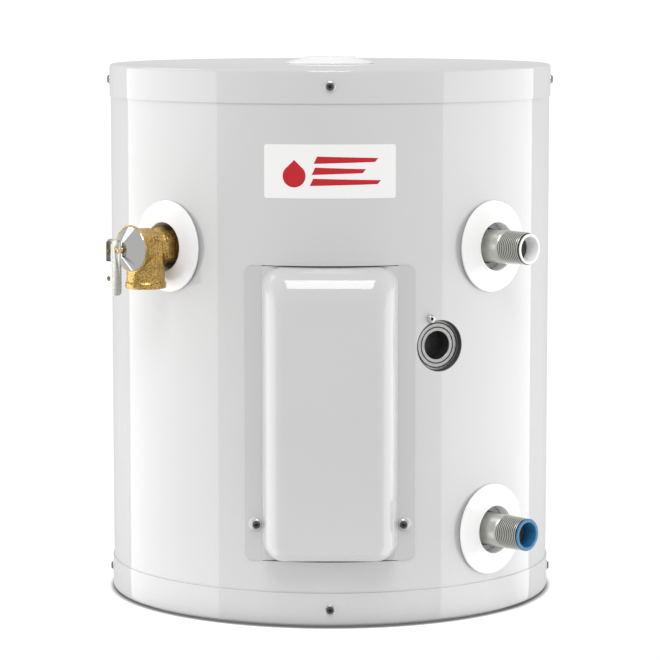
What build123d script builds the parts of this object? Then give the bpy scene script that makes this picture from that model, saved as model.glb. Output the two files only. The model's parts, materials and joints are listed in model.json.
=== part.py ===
"""Point-of-use tank water heater: a 360 mm steel jacket, 432 mm tall, about six US gallons.

Millimetres, +Z up, origin at the centre of the base. The access cover faces -Y.
Azimuths are measured from the front (-Y) towards the right (+X).
"""

import os
from math import asin, cos, radians, sin, sqrt

from build123d import *

os.makedirs("parts", exist_ok=True)

# --- Cabinet: rolled jacket with a pressed lid and a pressed pan lapping its ends
jacket_r = 180.0
body_h = 432.0
sheet_t = 0.8
cap_skirt_h = 26.0
cap_fit = 0.05
cap_edge_r = 2.5
seam_w = 12.0
seam_t = 0.9
cap_screw_inset = 13.0
cap_screw_azimuths = (0, 90, 180, 270)

# --- Washer-head sheet screws with a square recess
washer_r = 4.2
washer_t = 0.8
head_r = 3.0
head_h = 1.4
shank_r = 2.0
shank_l = 9.5
recess_w = 2.4
recess_depth = 1.2
screw_clearance = 0.3
screw_well = 3.0

# --- Inner tank and its threaded spuds
tank_r = 145.0
tank_wall = 2.0
tank_low_z = 32.0
tank_high_z = body_h - 48.0
head_flange_h = 12.0
top_head_rise = 16.0
bottom_head_rise = 12.0
weld_gap = 0.1
spud_r = 18.0
spud_reach_in = 6.0
spud_l = 22.0
thread_fit = 0.05

# --- Where the fittings stand
side_azimuth = 45.0
upper_fitting_z = body_h - 139.5
lower_fitting_z = 67.5

# --- Pipe nipples, 3/4 inch NPT
pipe_r = 13.33
pipe_bore_r = 10.7
barrel_neck = 0.3
thread_l = 22.0
nipple_tip = jacket_r + 39.3
nipple_bite = 1.9
nipple_l = nipple_tip - tank_r + nipple_bite
liner_lip_t = 1.0
liner_fit = 0.05
liner_bore_r = 9.85
liner_l = 40.0
hot_lip_r = 11.85
cold_lip_r = 12.8
flap_depth = 11.6
flap_t = 1.2
flap_fit = 0.1
dip_tube_r = 9.6
dip_tube_wall = 1.2
dip_tube_lap = 8.0
pickup_reach = 34.0
pickup_rise = 84.0
pickup_bend_r = 24.0
diffuser_reach = 46.0

# --- Escutcheons: shallow plastic cones with a collar that drops into the hole
escutcheon_r = 36.0
escutcheon_hole_r = 18.75
escutcheon_h = 5.5
escutcheon_wall = 1.4
escutcheon_collar_wall = 1.8
escutcheon_collar_l = 3.8
escutcheon_lip_w = 2.0
escutcheon_seat = 0.1
collar_clearance = 0.5

# --- Insulation
foam_gap = 0.1
dam_r = 26.0
dam_gap = 0.2
nipple_dam_bore_r = 14.0
base_pad_r = 140.0

# --- Access cover and the pocket behind it
cover_low_z = 51.0
cover_h = body_h - 202.0
cover_half_w = 66.2
cover_crease_x = 52.6
cover_gap = 0.3
cover_corner_r = 6.0
plate_lap = 0.3
window_margin = 0.6
box_half_w = 51.6
box_corner_r = 15.0
box_depth = 27.0
box_side_round = 15.0
box_bottom_round = 8.0
box_top_round = 25.0
box_squareness = 2.6
cover_screw_x = 57.2
cover_screw_z = 79.1
cover_pad_r = 4.8
pocket_half_w = 46.0
pocket_dam_t = 5.0
pad_t = 6.0
pad_inset = 9.0

# --- Heating element, one inch screw-in
element_z = 106.0
element_spud_r = 21.0
element_spud_l = 15.0
element_thread_r = 16.5
element_hex_af = 38.0
element_hex_t = 8.0
gasket_t = 2.0
sheath_r = 4.0
sheath_half_gap = 9.5
sheath_back_gap = 31.5
block_w = 30.0
block_h = 20.0
block_t = 9.0

# --- Thermostat with its high-limit reset
thermostat_half_w = 28.0
thermostat_low_z = 148.0
thermostat_h = 76.0
thermostat_d = 24.0
terminal_x = 19.0
terminal_inset = 10.0
terminal_head_r = 3.4
terminal_head_h = 2.2
terminal_shank_r = 1.8
terminal_shank_l = 6.0
dial_r = 8.0
dial_t = 3.0
dial_z = 176.0
button_r = 4.0
button_z = 204.0
button_proud = 3.5
button_travel = 2.0
moving_gap = 0.3
bracket_t = 1.0
lead_r = 1.4

# --- Cable entry cup with concentric knockouts
entry_azimuth = 28.4
entry_z = upper_fitting_z - 75.1
entry_r = 20.15
entry_depth = 5.0
entry_wall = 0.8
entry_bore_r = 11.1
knockout_t = 1.2
knockout_radii = (14.1, 17.45)
knockout_groove = 0.5
tunnel_r = 11.5
ground_azimuth = 25.6
ground_z = entry_z + 21.6
ground_head_r = 3.15
ground_head_h = 3.2

# --- Badge
badge_half_angle = 16.3
badge_low_z = body_h - 98.5
badge_h = 41.5
badge_t = 0.25
badge_corner_r = 2.0

# --- Anode
anode_r = 9.5
anode_l = 215.0
hex_af = 27.0
anode_hex_h = 8.0

# --- Temperature and pressure relief valve, along its own radius
relief_azimuth = -45.0
relief_shank_in = tank_r + 2.0
hex_from = jacket_r + 4.0
hex_to = hex_from + 8.5
neck_r = 13.0
collar_from = hex_to + 6.8
collar_to = collar_from + 7.7
collar_w = 31.4
collar_up = 10.6
collar_down = 14.9
barrel_r = 15.7
rim_r = 18.7
rim_at = collar_to + 11.6
outlet_at = collar_from + 4.0
outlet_r = 15.0
outlet_bead_r = 16.05
outlet_bead_h = 4.9
outlet_drop = 31.4
outlet_thread_r = 12.1
outlet_thread_l = 14.0
outlet_bore_r = 10.5
inlet_bore_r = 8.5
seat_at = hex_to + 3.5
chamber_r = 13.2
bonnet_base_r = 17.45
bonnet_base_at = rim_at - 1.4
bonnet_base_t = 1.6
bonnet_top_r = 6.0
bonnet_top_at = bonnet_base_at + 10.8
bonnet_wall = 1.2
disc_r = 10.5
disc_t = 3.5
stem_r = 2.3
stem_tip = bonnet_top_at + 10.4
stem_fit = 0.3
pin_at = stem_tip - 2.9
pin_r = 1.2
pin_head_r = 2.15
pin_head_t = 1.0
pin_fit = 0.05
spring_r = 4.2
spring_wire_r = 0.9
spring_turns = 4.5
stem_lift = 3.0
lever_outer = stem_tip + 2.9
lever_w = 7.2
lever_t = 0.9
ear_inner = pin_at - 4.1
ear_up = 9.0
lever_down = 34.7
web_below = 8.1
web_hole_r = 1.95
web_hole_below = 21.3
probe_r = 4.5
probe_end = 52.0

cap_r = jacket_r + cap_fit + sheet_t
jacket_inner_r = jacket_r - sheet_t
tank_inner_r = tank_r - tank_wall
cover_mid_z = cover_low_z + cover_h / 2
cover_inner_r = jacket_r + cover_gap
cover_outer_r = cover_inner_r + sheet_t
plate_back = sqrt(cover_inner_r**2 - cover_crease_x**2)
plate_front = plate_back + sheet_t
cover_seat = plate_front + 0.1
entry_floor = jacket_r - entry_depth
spud_face = tank_r - spud_reach_in + spud_l
dam_face = jacket_r - escutcheon_collar_l - dam_gap
element_spud_face = tank_r - spud_reach_in + element_spud_l
element_hex_back = element_spud_face + gasket_t
element_front = element_hex_back + element_hex_t
block_front = element_front + block_t
thermostat_back = tank_r + 2.0
thermostat_front = thermostat_back + thermostat_d
thermostat_high_z = thermostat_low_z + thermostat_h
pan_screw_z = cap_screw_inset
lid_screw_z = body_h - cap_screw_inset
stem_bore_r = stem_r + stem_fit
fittings = ((side_azimuth, upper_fitting_z), (side_azimuth, lower_fitting_z), (relief_azimuth, upper_fitting_z))


def outward(azimuth):
    """Unit vector that points away from the heater's axis at an azimuth."""
    return Vector(sin(radians(azimuth)), -cos(radians(azimuth)), 0)


def facing(azimuth, radius, height):
    """Plane square to a radius: local x to the right, local y up, local z outwards."""
    out = outward(azimuth)
    return Plane(origin=out * radius + Vector(0, 0, height), x_dir=Vector(-out.Y, out.X, 0), z_dir=out)


def lengthwise(azimuth, height):
    """Plane along a radius: local x is the distance from the heater's axis, local y is up."""
    out = outward(azimuth)
    return Plane(origin=(0, 0, height), x_dir=out, z_dir=Vector(out.Y, -out.X, 0))


def front(distance):
    """Plane parallel to the front, that far from the heater's axis."""
    return Plane.XZ.offset(distance)


def fitting_axis(azimuth, height):
    return Axis((0, 0, height), outward(azimuth))


def write(builder, name):
    builder.part.label = name
    export_step(builder.part, f"parts/{name}.step")


def pressed_cap(face_z, up):
    """A drawn steel cap: a flat face, a rounded edge and a skirt. up is 1 for a pan, -1 for a lid."""
    with BuildPart() as cap:
        with BuildSketch(Plane.XZ) as section:
            with BuildLine():
                Polyline(
                    (0, face_z),
                    (cap_r, face_z),
                    (cap_r, face_z + up * cap_skirt_h),
                    (cap_r - sheet_t, face_z + up * cap_skirt_h),
                    (cap_r - sheet_t, face_z + up * sheet_t),
                    (0, face_z + up * sheet_t),
                    close=True,
                )
            make_face()
            by_height = section.vertices().sort_by(Axis.Y, reverse=up < 0)
            fillet(by_height[0:2].sort_by(Axis.X)[-1], cap_edge_r)
            inner = section.vertices().filter_by(lambda v: abs(v.X - cap_r + sheet_t) < 0.01)
            fillet(inner.sort_by(Axis.Y, reverse=up < 0)[0], cap_edge_r - sheet_t)
        revolve(axis=Axis.Z)
    return cap.part


def screw(seat, flange_r, flange_t, top_r, top_h, body_r, body_l):
    """A screw seated on a plane, with a square recess in its head and a plain shank."""
    with BuildPart() as one:
        if flange_t > 0:
            with BuildSketch(seat):
                Circle(flange_r)
            extrude(amount=flange_t)
        with BuildSketch(seat.offset(flange_t)):
            Circle(top_r)
        extrude(amount=top_h)
        with BuildSketch(seat.offset(flange_t + top_h)):
            Rectangle(recess_w, recess_w)
        extrude(amount=-recess_depth, mode=Mode.SUBTRACT)
        with BuildSketch(seat):
            Circle(body_r)
        extrude(amount=-body_l)
    return one.part


def sheet_screw(seat):
    return screw(seat, washer_r, washer_t, head_r, head_h, shank_r, shank_l)


def terminal_screw(seat):
    return screw(seat, 0, 0, terminal_head_r, terminal_head_h, terminal_shank_r, terminal_shank_l)


def dome_mid(rim_radius, rim_z, rise):
    """Middle point of the arc from a dome's rim to its crown."""
    radius = (rim_radius**2 + rise**2) / (2 * rise)
    half = asin(rim_radius / radius) / 2
    return (radius * sin(half), rim_z + rise - radius * (1 - cos(half)))


def pressed_head(flange_low_z, rise):
    """A dished tank head with its flange turned down inside the shell."""
    rim_z = flange_low_z + head_flange_h
    outer = tank_inner_r - weld_gap
    inner = outer - tank_wall
    crown = rim_z + rise
    with BuildPart() as head:
        with BuildSketch(Plane.XZ):
            with BuildLine():
                Line((outer, flange_low_z), (outer, rim_z))
                ThreePointArc((outer, rim_z), dome_mid(outer, rim_z, rise), (0, crown))
                Line((0, crown), (0, crown - tank_wall))
                ThreePointArc(
                    (0, crown - tank_wall), dome_mid(inner, rim_z, rise - tank_wall), (inner, rim_z)
                )
                Polyline((inner, rim_z), (inner, flange_low_z), (outer, flange_low_z))
            make_face()
        revolve(axis=Axis.Z)
    return head.part


def escutcheon(seat):
    """A shallow cone on a plane, with a raised lip round its hole and a collar behind."""
    middle = seat.origin
    upright = Plane(origin=middle, x_dir=seat.x_dir, z_dir=-seat.y_dir)
    top = escutcheon_h
    lip = escutcheon_hole_r + escutcheon_lip_w
    collar = escutcheon_hole_r + escutcheon_collar_wall
    with BuildPart() as ring:
        with BuildSketch(upright):
            with BuildLine():
                Polyline(
                    (escutcheon_hole_r, -escutcheon_collar_l),
                    (escutcheon_hole_r, top),
                    (lip, top),
                    (lip + 0.4, top - 0.7),
                    (escutcheon_r, escutcheon_wall),
                    (escutcheon_r, 0),
                    (escutcheon_r - escutcheon_wall, 0),
                    (collar, top - 0.7 - escutcheon_wall),
                    (collar, -escutcheon_collar_l),
                    close=True,
                )
            make_face()
        revolve(axis=Axis(middle, seat.z_dir))
    return ring.part


# --- Bottom pan: carries the whole heater on the floor
with BuildPart() as bottom_pan:
    add(pressed_cap(0, 1))
    for azimuth in cap_screw_azimuths:
        with BuildSketch(facing(azimuth, jacket_r - 5, pan_screw_z)):
            Circle(shank_r + screw_clearance)
        extrude(amount=10, mode=Mode.SUBTRACT)
write(bottom_pan, "bottom_pan")

# --- Top lid: the pan's twin, with the anode's hole in the middle
with BuildPart() as top_lid:
    add(pressed_cap(body_h, -1))
    for azimuth in cap_screw_azimuths:
        with BuildSketch(facing(azimuth, jacket_r - 5, lid_screw_z)):
            Circle(shank_r + screw_clearance)
        extrude(amount=10, mode=Mode.SUBTRACT)
    with BuildSketch(Plane.XY.offset(body_h - 5)):
        Circle(escutcheon_hole_r + escutcheon_collar_wall + collar_clearance)
    extrude(amount=10, mode=Mode.SUBTRACT)
write(top_lid, "top_lid")

# --- Jacket: rolled sheet, lock seam down the back, window for the cover
jacket_low_z = cap_edge_r + 1.5
jacket_l = body_h - 2 * jacket_low_z
with BuildPart() as jacket:
    with BuildSketch(Plane.XY.offset(jacket_low_z)):
        Circle(jacket_r)
        Circle(jacket_inner_r, mode=Mode.SUBTRACT)
    extrude(amount=jacket_l)
    with BuildSketch(Plane.XY.offset(cap_skirt_h + 1.5)):
        with Locations((0, jacket_r + (seam_t - 0.5) / 2)):
            Rectangle(seam_w, seam_t + 0.5)
    extrude(amount=body_h - 2 * (cap_skirt_h + 1.5))
    with BuildSketch(front(tank_r)):
        with Locations((0, cover_mid_z)):
            Rectangle(2 * cover_crease_x, cover_h + 2 * window_margin)
    extrude(amount=jacket_r, mode=Mode.SUBTRACT)
    for azimuth, height in fittings:
        with BuildSketch(facing(azimuth, tank_r, height)):
            Circle(escutcheon_hole_r + escutcheon_collar_wall + collar_clearance)
        extrude(amount=jacket_r - tank_r + 5, mode=Mode.SUBTRACT)
    with BuildSketch(facing(entry_azimuth, tank_r, entry_z)):
        Circle(entry_r)
    extrude(amount=jacket_r - tank_r + 5, mode=Mode.SUBTRACT)
    with BuildSketch(facing(ground_azimuth, tank_r, ground_z)):
        Circle(shank_r + liner_fit)
    extrude(amount=jacket_r - tank_r + 5, mode=Mode.SUBTRACT)
    for azimuth in cap_screw_azimuths:
        for height in (pan_screw_z, lid_screw_z):
            with BuildSketch(facing(azimuth, jacket_r - 5, height)):
                Circle(shank_r + liner_fit)
            extrude(amount=10, mode=Mode.SUBTRACT)
    with BuildSketch(front(tank_r)):
        with Locations((-cover_screw_x, cover_screw_z), (cover_screw_x, cover_screw_z)):
            Circle(shank_r + screw_clearance)
    extrude(amount=jacket_r, mode=Mode.SUBTRACT)
write(jacket, "jacket")

# --- Screws that hold the pan and the lid to the jacket
pan_screw_solids = [sheet_screw(facing(a, cap_r, pan_screw_z)) for a in cap_screw_azimuths]
with BuildPart() as pan_screws:
    add(pan_screw_solids)
write(pan_screws, "pan_screws")

lid_screw_solids = [sheet_screw(facing(a, cap_r, lid_screw_z)) for a in cap_screw_azimuths]
with BuildPart() as lid_screws:
    add(lid_screw_solids)
write(lid_screws, "lid_screws")


# --- Access cover: wings that follow the jacket, a flat plate and a drawn box
def cover_box(back, depth, shrink):
    """The drawn box as a loft of rounded rectangles that close in towards its face."""
    low = cover_low_z + 0.4 + shrink
    high = cover_low_z + cover_h - 0.4 - shrink
    with BuildPart() as box:
        for angle in (0, 15, 30, 45, 60, 75, 90):
            out = sin(radians(angle)) ** (2 / box_squareness)
            closed = 1 - max(cos(radians(angle)), 0) ** (2 / box_squareness)
            bottom = low + box_bottom_round * closed
            top = high - box_top_round * closed
            half = box_half_w - shrink - box_side_round * closed
            with BuildSketch(front(back + depth * out)):
                with Locations((0, (bottom + top) / 2)):
                    RectangleRounded(2 * half, top - bottom, box_corner_r - shrink)
        loft()
    return box.part


box_outside = cover_box(plate_back + sheet_t / 2, box_depth + sheet_t / 2, 0)
box_inside = cover_box(plate_back - 0.5, box_depth + 0.5, sheet_t)
with BuildPart() as access_cover:
    with BuildSketch(Plane.XY.offset(cover_low_z)):
        Circle(cover_outer_r)
        Circle(cover_inner_r, mode=Mode.SUBTRACT)
        with Locations((0, -cover_outer_r)):
            Rectangle(2 * (cover_half_w + cover_corner_r), cover_outer_r, mode=Mode.INTERSECT)
            Rectangle(2 * cover_crease_x, cover_outer_r, mode=Mode.SUBTRACT)
    extrude(amount=cover_h)
    with BuildSketch(front(plate_back - 5)):
        with Locations((-cover_screw_x, cover_screw_z), (cover_screw_x, cover_screw_z)):
            Circle(cover_pad_r)
    extrude(amount=cover_seat - plate_back + 5)
    with BuildSketch(Plane.XY.offset(cover_low_z)):
        Circle(cover_inner_r)
    extrude(amount=cover_h, mode=Mode.SUBTRACT)
    with BuildSketch(front(plate_back)):
        with Locations((0, cover_mid_z)):
            Rectangle(2 * cover_crease_x + plate_lap, cover_h + 2)
    extrude(amount=sheet_t)
    with BuildSketch(front(tank_r)):
        with Locations((0, cover_mid_z)):
            RectangleRounded(2 * cover_half_w, cover_h, cover_corner_r)
    extrude(amount=jacket_r, mode=Mode.INTERSECT)
    add(box_outside)
    add(box_inside, mode=Mode.SUBTRACT)
    with BuildSketch(front(tank_r)):
        with Locations((-cover_screw_x, cover_screw_z), (cover_screw_x, cover_screw_z)):
            Circle(shank_r + liner_fit)
    extrude(amount=jacket_r, mode=Mode.SUBTRACT)
write(access_cover, "access_cover")

cover_screw_seats = [
    Plane(origin=(x, -cover_seat, cover_screw_z), x_dir=(1, 0, 0), z_dir=(0, -1, 0))
    for x in (-cover_screw_x, cover_screw_x)
]
cover_screw_solids = [sheet_screw(seat) for seat in cover_screw_seats]
with BuildPart() as access_cover_screws:
    add(cover_screw_solids)
write(access_cover_screws, "access_cover_screws")

# --- Fibreglass pad glued behind the cover's face
pad_front = plate_back + box_depth - sheet_t - 0.4
with BuildPart() as cover_insulation:
    with BuildSketch(front(pad_front - pad_t)):
        with Locations((0, cover_mid_z - (box_top_round - box_bottom_round) / 2)):
            RectangleRounded(
                2 * (box_half_w - box_side_round - 1),
                cover_h - box_top_round - box_bottom_round - 2 * pad_inset,
                8,
            )
    extrude(amount=pad_t)
write(cover_insulation, "cover_insulation")

# --- Badge: a foil label bent to the jacket
with BuildPart() as badge_label:
    with BuildSketch(Plane.XY.offset(badge_low_z)):
        Circle(jacket_r + badge_t)
        Circle(jacket_r, mode=Mode.SUBTRACT)
    extrude(amount=badge_h)
    with BuildSketch(front(tank_r)):
        with Locations((0, badge_low_z + badge_h / 2)):
            RectangleRounded(2 * jacket_r * sin(radians(badge_half_angle)), badge_h, badge_corner_r)
    extrude(amount=jacket_r, mode=Mode.INTERSECT)
write(badge_label, "badge_label")

# --- Inner tank: rolled shell with two dished heads
with BuildPart() as tank_shell:
    with BuildSketch(Plane.XY.offset(tank_low_z)):
        Circle(tank_r)
        Circle(tank_inner_r, mode=Mode.SUBTRACT)
    extrude(amount=tank_high_z - tank_low_z)
    for azimuth, height in fittings:
        with BuildSketch(facing(azimuth, tank_r / 2, height)):
            Circle(spud_r + weld_gap)
        extrude(amount=tank_r, mode=Mode.SUBTRACT)
    with BuildSketch(front(tank_r / 2)):
        with Locations((0, element_z)):
            Circle(element_spud_r + weld_gap)
    extrude(amount=tank_r, mode=Mode.SUBTRACT)
write(tank_shell, "tank_shell")

with BuildPart() as tank_bottom_head:
    add(pressed_head(tank_low_z, bottom_head_rise))
write(tank_bottom_head, "tank_bottom_head")

tank_crown_z = tank_high_z + top_head_rise
anode_spud_low_z = tank_crown_z - 8
anode_spud_high_z = tank_crown_z + 10
with BuildPart() as tank_top_head:
    add(pressed_head(tank_high_z - head_flange_h, top_head_rise))
    with BuildSketch(Plane.XY.offset(tank_crown_z - 20)):
        Circle(spud_r + weld_gap)
    extrude(amount=40, mode=Mode.SUBTRACT)
write(tank_top_head, "tank_top_head")

with BuildPart() as tank_spuds:
    for azimuth, height in fittings:
        with BuildSketch(facing(azimuth, tank_r - spud_reach_in, height)):
            Circle(spud_r)
            Circle(pipe_r + thread_fit, mode=Mode.SUBTRACT)
        extrude(amount=spud_l)
write(tank_spuds, "tank_spuds")

with BuildPart() as element_spud:
    with BuildSketch(front(tank_r - spud_reach_in)):
        with Locations((0, element_z)):
            Circle(element_spud_r)
            Circle(element_thread_r + thread_fit, mode=Mode.SUBTRACT)
    extrude(amount=element_spud_l)
write(element_spud, "element_spud")

with BuildPart() as anode_spud:
    with BuildSketch(Plane.XY.offset(anode_spud_low_z)):
        Circle(spud_r)
        Circle(pipe_r + thread_fit, mode=Mode.SUBTRACT)
    extrude(amount=anode_spud_high_z - anode_spud_low_z)
write(anode_spud, "anode_spud")

# --- Sacrificial anode: a magnesium rod hung from a hex plug
with BuildPart() as anode_plug:
    with BuildSketch(Plane.XY.offset(anode_spud_high_z)):
        RegularPolygon(hex_af / 2, 6, major_radius=False)
    extrude(amount=anode_hex_h)
    with BuildSketch(Plane.XY.offset(anode_spud_low_z - 2)):
        Circle(pipe_r)
    extrude(amount=anode_spud_high_z - anode_spud_low_z + 2)
write(anode_plug, "anode_plug")

with BuildPart() as anode_rod:
    with BuildSketch(Plane.XY.offset(anode_spud_low_z - 2 - anode_l)):
        Circle(anode_r)
    extrude(amount=anode_l)
write(anode_rod, "anode_rod")


# --- Pipe nipples with plastic liners and heat-trap flaps
def nipple(azimuth, height):
    """A length of pipe, threaded at both ends and a little slimmer between the threads."""
    with BuildPart() as pipe:
        with BuildSketch(facing(azimuth, nipple_tip - nipple_l, height)):
            Circle(pipe_r)
            Circle(pipe_bore_r, mode=Mode.SUBTRACT)
        extrude(amount=nipple_l - liner_lip_t)
        with BuildSketch(facing(azimuth, nipple_tip - nipple_l + thread_l, height)):
            Circle(pipe_r + 1)
            Circle(pipe_r - barrel_neck, mode=Mode.SUBTRACT)
        extrude(amount=nipple_l - liner_lip_t - 2 * thread_l, mode=Mode.SUBTRACT)
    return pipe.part


def liner(azimuth, height, lip_r):
    """A plastic sleeve in the pipe, with a lip that covers its cut end."""
    with BuildPart() as sleeve:
        with BuildSketch(facing(azimuth, nipple_tip - liner_l, height)):
            Circle(pipe_bore_r - liner_fit)
            Circle(liner_bore_r, mode=Mode.SUBTRACT)
        extrude(amount=liner_l)
        with BuildSketch(facing(azimuth, nipple_tip - liner_lip_t, height)):
            Circle(lip_r)
            Circle(liner_bore_r, mode=Mode.SUBTRACT)
        extrude(amount=liner_lip_t)
    return sleeve.part


def trap_flap(azimuth, height):
    """A rubber disc across the liner that stops warm water from rising when nothing flows."""
    with BuildPart() as disc:
        with BuildSketch(facing(azimuth, nipple_tip - flap_depth - flap_t, height)):
            Circle(liner_bore_r - flap_fit)
        extrude(amount=flap_t)
    return disc.part


with BuildPart() as hot_nipple:
    add(nipple(side_azimuth, upper_fitting_z))
write(hot_nipple, "hot_nipple")
with BuildPart() as hot_liner:
    add(liner(side_azimuth, upper_fitting_z, hot_lip_r))
write(hot_liner, "hot_liner")
with BuildPart() as hot_trap_flap:
    add(trap_flap(side_azimuth, upper_fitting_z))
write(hot_trap_flap, "hot_trap_flap")
with BuildPart() as cold_nipple:
    add(nipple(side_azimuth, lower_fitting_z))
write(cold_nipple, "cold_nipple")
with BuildPart() as cold_liner:
    add(liner(side_azimuth, lower_fitting_z, cold_lip_r))
write(cold_liner, "cold_liner")
with BuildPart() as cold_trap_flap:
    add(trap_flap(side_azimuth, lower_fitting_z))
write(cold_trap_flap, "cold_trap_flap")

# --- Hot pick-up tube: bends up to draw from the top of the tank
tube_start = nipple_tip - nipple_l + dip_tube_lap
tube_corner = tube_start - dip_tube_lap - pickup_reach
with BuildPart() as hot_pickup_tube:
    with BuildLine(lengthwise(side_azimuth, upper_fitting_z)) as pickup_path:
        FilletPolyline(
            (tube_start, 0), (tube_corner, 0), (tube_corner, pickup_rise), radius=pickup_bend_r
        )
    with BuildSketch(facing(side_azimuth, tube_start, upper_fitting_z)):
        Circle(dip_tube_r)
        Circle(dip_tube_r - dip_tube_wall, mode=Mode.SUBTRACT)
    sweep(path=pickup_path.wires()[0])
write(hot_pickup_tube, "hot_pickup_tube")

# --- Cold diffuser: a capped tube with slots underneath, so the inflow stays low
diffuser_end = tube_start - dip_tube_lap - diffuser_reach
with BuildPart() as cold_diffuser:
    with BuildSketch(facing(side_azimuth, diffuser_end, lower_fitting_z)):
        Circle(dip_tube_r)
    extrude(amount=tube_start - diffuser_end)
    with BuildSketch(facing(side_azimuth, diffuser_end + dip_tube_wall, lower_fitting_z)):
        Circle(dip_tube_r - dip_tube_wall)
    extrude(amount=tube_start - diffuser_end, mode=Mode.SUBTRACT)
    for place in (8, 18, 28):
        slot = Plane(
            origin=outward(side_azimuth) * (diffuser_end + place) + Vector(0, 0, lower_fitting_z - dip_tube_r / 2),
            x_dir=outward(side_azimuth),
            z_dir=(0, 0, -1),
        )
        with BuildSketch(slot):
            Rectangle(4, 12)
        extrude(amount=dip_tube_r, mode=Mode.SUBTRACT)
write(cold_diffuser, "cold_diffuser")

# --- Escutcheons round the three side fittings and over the anode
escutcheon_at = jacket_r + escutcheon_seat
for name, azimuth, height in (
    ("hot_escutcheon", side_azimuth, upper_fitting_z),
    ("cold_escutcheon", side_azimuth, lower_fitting_z),
    ("relief_escutcheon", relief_azimuth, upper_fitting_z),
):
    with BuildPart() as side_escutcheon:
        add(escutcheon(facing(azimuth, escutcheon_at, height)))
    write(side_escutcheon, name)

with BuildPart() as anode_escutcheon:
    add(escutcheon(Plane.XY.offset(body_h)))
write(anode_escutcheon, "anode_escutcheon")

# --- Heating element: hex flange, gasket, hairpin sheath and terminal block
with BuildPart() as element_gasket:
    with BuildSketch(front(element_spud_face)):
        with Locations((0, element_z)):
            Circle(element_spud_r - 1)
            Circle(element_thread_r + 0.2, mode=Mode.SUBTRACT)
    extrude(amount=gasket_t)
write(element_gasket, "element_gasket")

flange_back = tank_r - spud_reach_in - 2
sheath_l = flange_back + tank_inner_r - sheath_back_gap - sheath_half_gap - sheath_r
with BuildPart() as element_flange:
    with BuildSketch(front(element_hex_back)):
        with Locations((0, element_z)):
            RegularPolygon(element_hex_af / 2, 6, major_radius=False)
    extrude(amount=element_hex_t)
    with BuildSketch(front(flange_back)):
        with Locations((0, element_z)):
            Circle(element_thread_r)
    extrude(amount=element_hex_back - flange_back)
write(element_flange, "element_flange")

with BuildPart() as element_sheath:
    with BuildLine(Plane.XY.offset(element_z)) as hairpin:
        Line((-sheath_half_gap, -flange_back), (-sheath_half_gap, -flange_back + sheath_l))
        ThreePointArc(
            (-sheath_half_gap, -flange_back + sheath_l),
            (0, -flange_back + sheath_l + sheath_half_gap),
            (sheath_half_gap, -flange_back + sheath_l),
        )
        Line((sheath_half_gap, -flange_back + sheath_l), (sheath_half_gap, -flange_back))
    with BuildSketch(front(flange_back)):
        with Locations((-sheath_half_gap, element_z)):
            Circle(sheath_r)
    sweep(path=hairpin.wires()[0])
write(element_sheath, "element_sheath")

element_screw_x = 8.0
with BuildPart() as element_terminal_block:
    with BuildSketch(front(element_front)):
        with Locations((0, element_z)):
            RectangleRounded(block_w, block_h, 3)
    extrude(amount=block_t)
    with BuildSketch(front(block_front)):
        with Locations((-element_screw_x, element_z + 4), (element_screw_x, element_z + 4)):
            Circle(terminal_shank_r + thread_fit)
    extrude(amount=-terminal_shank_l - 0.5, mode=Mode.SUBTRACT)
write(element_terminal_block, "element_terminal_block")

element_screw_solids = [
    terminal_screw(front(block_front).shift_origin((x, -block_front, element_z + 4)))
    for x in (-element_screw_x, element_screw_x)
]
with BuildPart() as element_terminal_screws:
    add(element_screw_solids)
write(element_terminal_screws, "element_terminal_screws")

# --- Thermostat: moulded body that senses through the tank wall
terminal_places = [
    (x, z)
    for x in (-terminal_x, terminal_x)
    for z in (thermostat_low_z + terminal_inset, thermostat_high_z - terminal_inset)
]
with BuildPart() as thermostat_body:
    with BuildSketch(front(thermostat_back)):
        with Locations((0, thermostat_low_z + thermostat_h / 2)):
            RectangleRounded(2 * thermostat_half_w, thermostat_h, 3)
    extrude(amount=thermostat_d)
    with BuildSketch(front(thermostat_front)):
        with Locations(*terminal_places):
            Circle(terminal_shank_r + thread_fit)
    extrude(amount=-terminal_shank_l - 0.5, mode=Mode.SUBTRACT)
    with BuildSketch(front(thermostat_front)):
        with Locations((0, dial_z)):
            Circle(dial_r + moving_gap)
    extrude(amount=-dial_t - moving_gap, mode=Mode.SUBTRACT)
    with BuildSketch(front(thermostat_front)):
        with Locations((0, button_z)):
            Circle(button_r + moving_gap)
    extrude(amount=-thermostat_d / 2, mode=Mode.SUBTRACT)
write(thermostat_body, "thermostat_body")

with BuildPart() as thermostat_dial:
    with BuildSketch(front(thermostat_front - dial_t)):
        with Locations((0, dial_z)):
            Circle(dial_r)
    extrude(amount=dial_t + 1.0)
    with BuildSketch(front(thermostat_front + 1.0)):
        with Locations((0, dial_z)):
            Rectangle(1.6, 2 * dial_r - 3)
        with Locations((0, dial_z + dial_r - 1)):
            Rectangle(1.0, 2.0)
    extrude(amount=-1.5, mode=Mode.SUBTRACT)
write(thermostat_dial, "thermostat_dial")

button_back = thermostat_front - thermostat_d / 2 + button_travel + 1.0
with BuildPart() as reset_button:
    with BuildSketch(front(button_back)):
        with Locations((0, button_z)):
            Circle(button_r)
    extrude(amount=thermostat_front + button_proud - button_back)
    fillet(reset_button.edges().filter_by(GeomType.CIRCLE).sort_by(Axis.Y)[0], 0.8)
write(reset_button, "reset_button")

thermostat_screw_solids = [
    terminal_screw(front(thermostat_front).shift_origin((x, -thermostat_front, z)))
    for x, z in terminal_places
]
with BuildPart() as thermostat_terminal_screws:
    add(thermostat_screw_solids)
write(thermostat_terminal_screws, "thermostat_terminal_screws")

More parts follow.
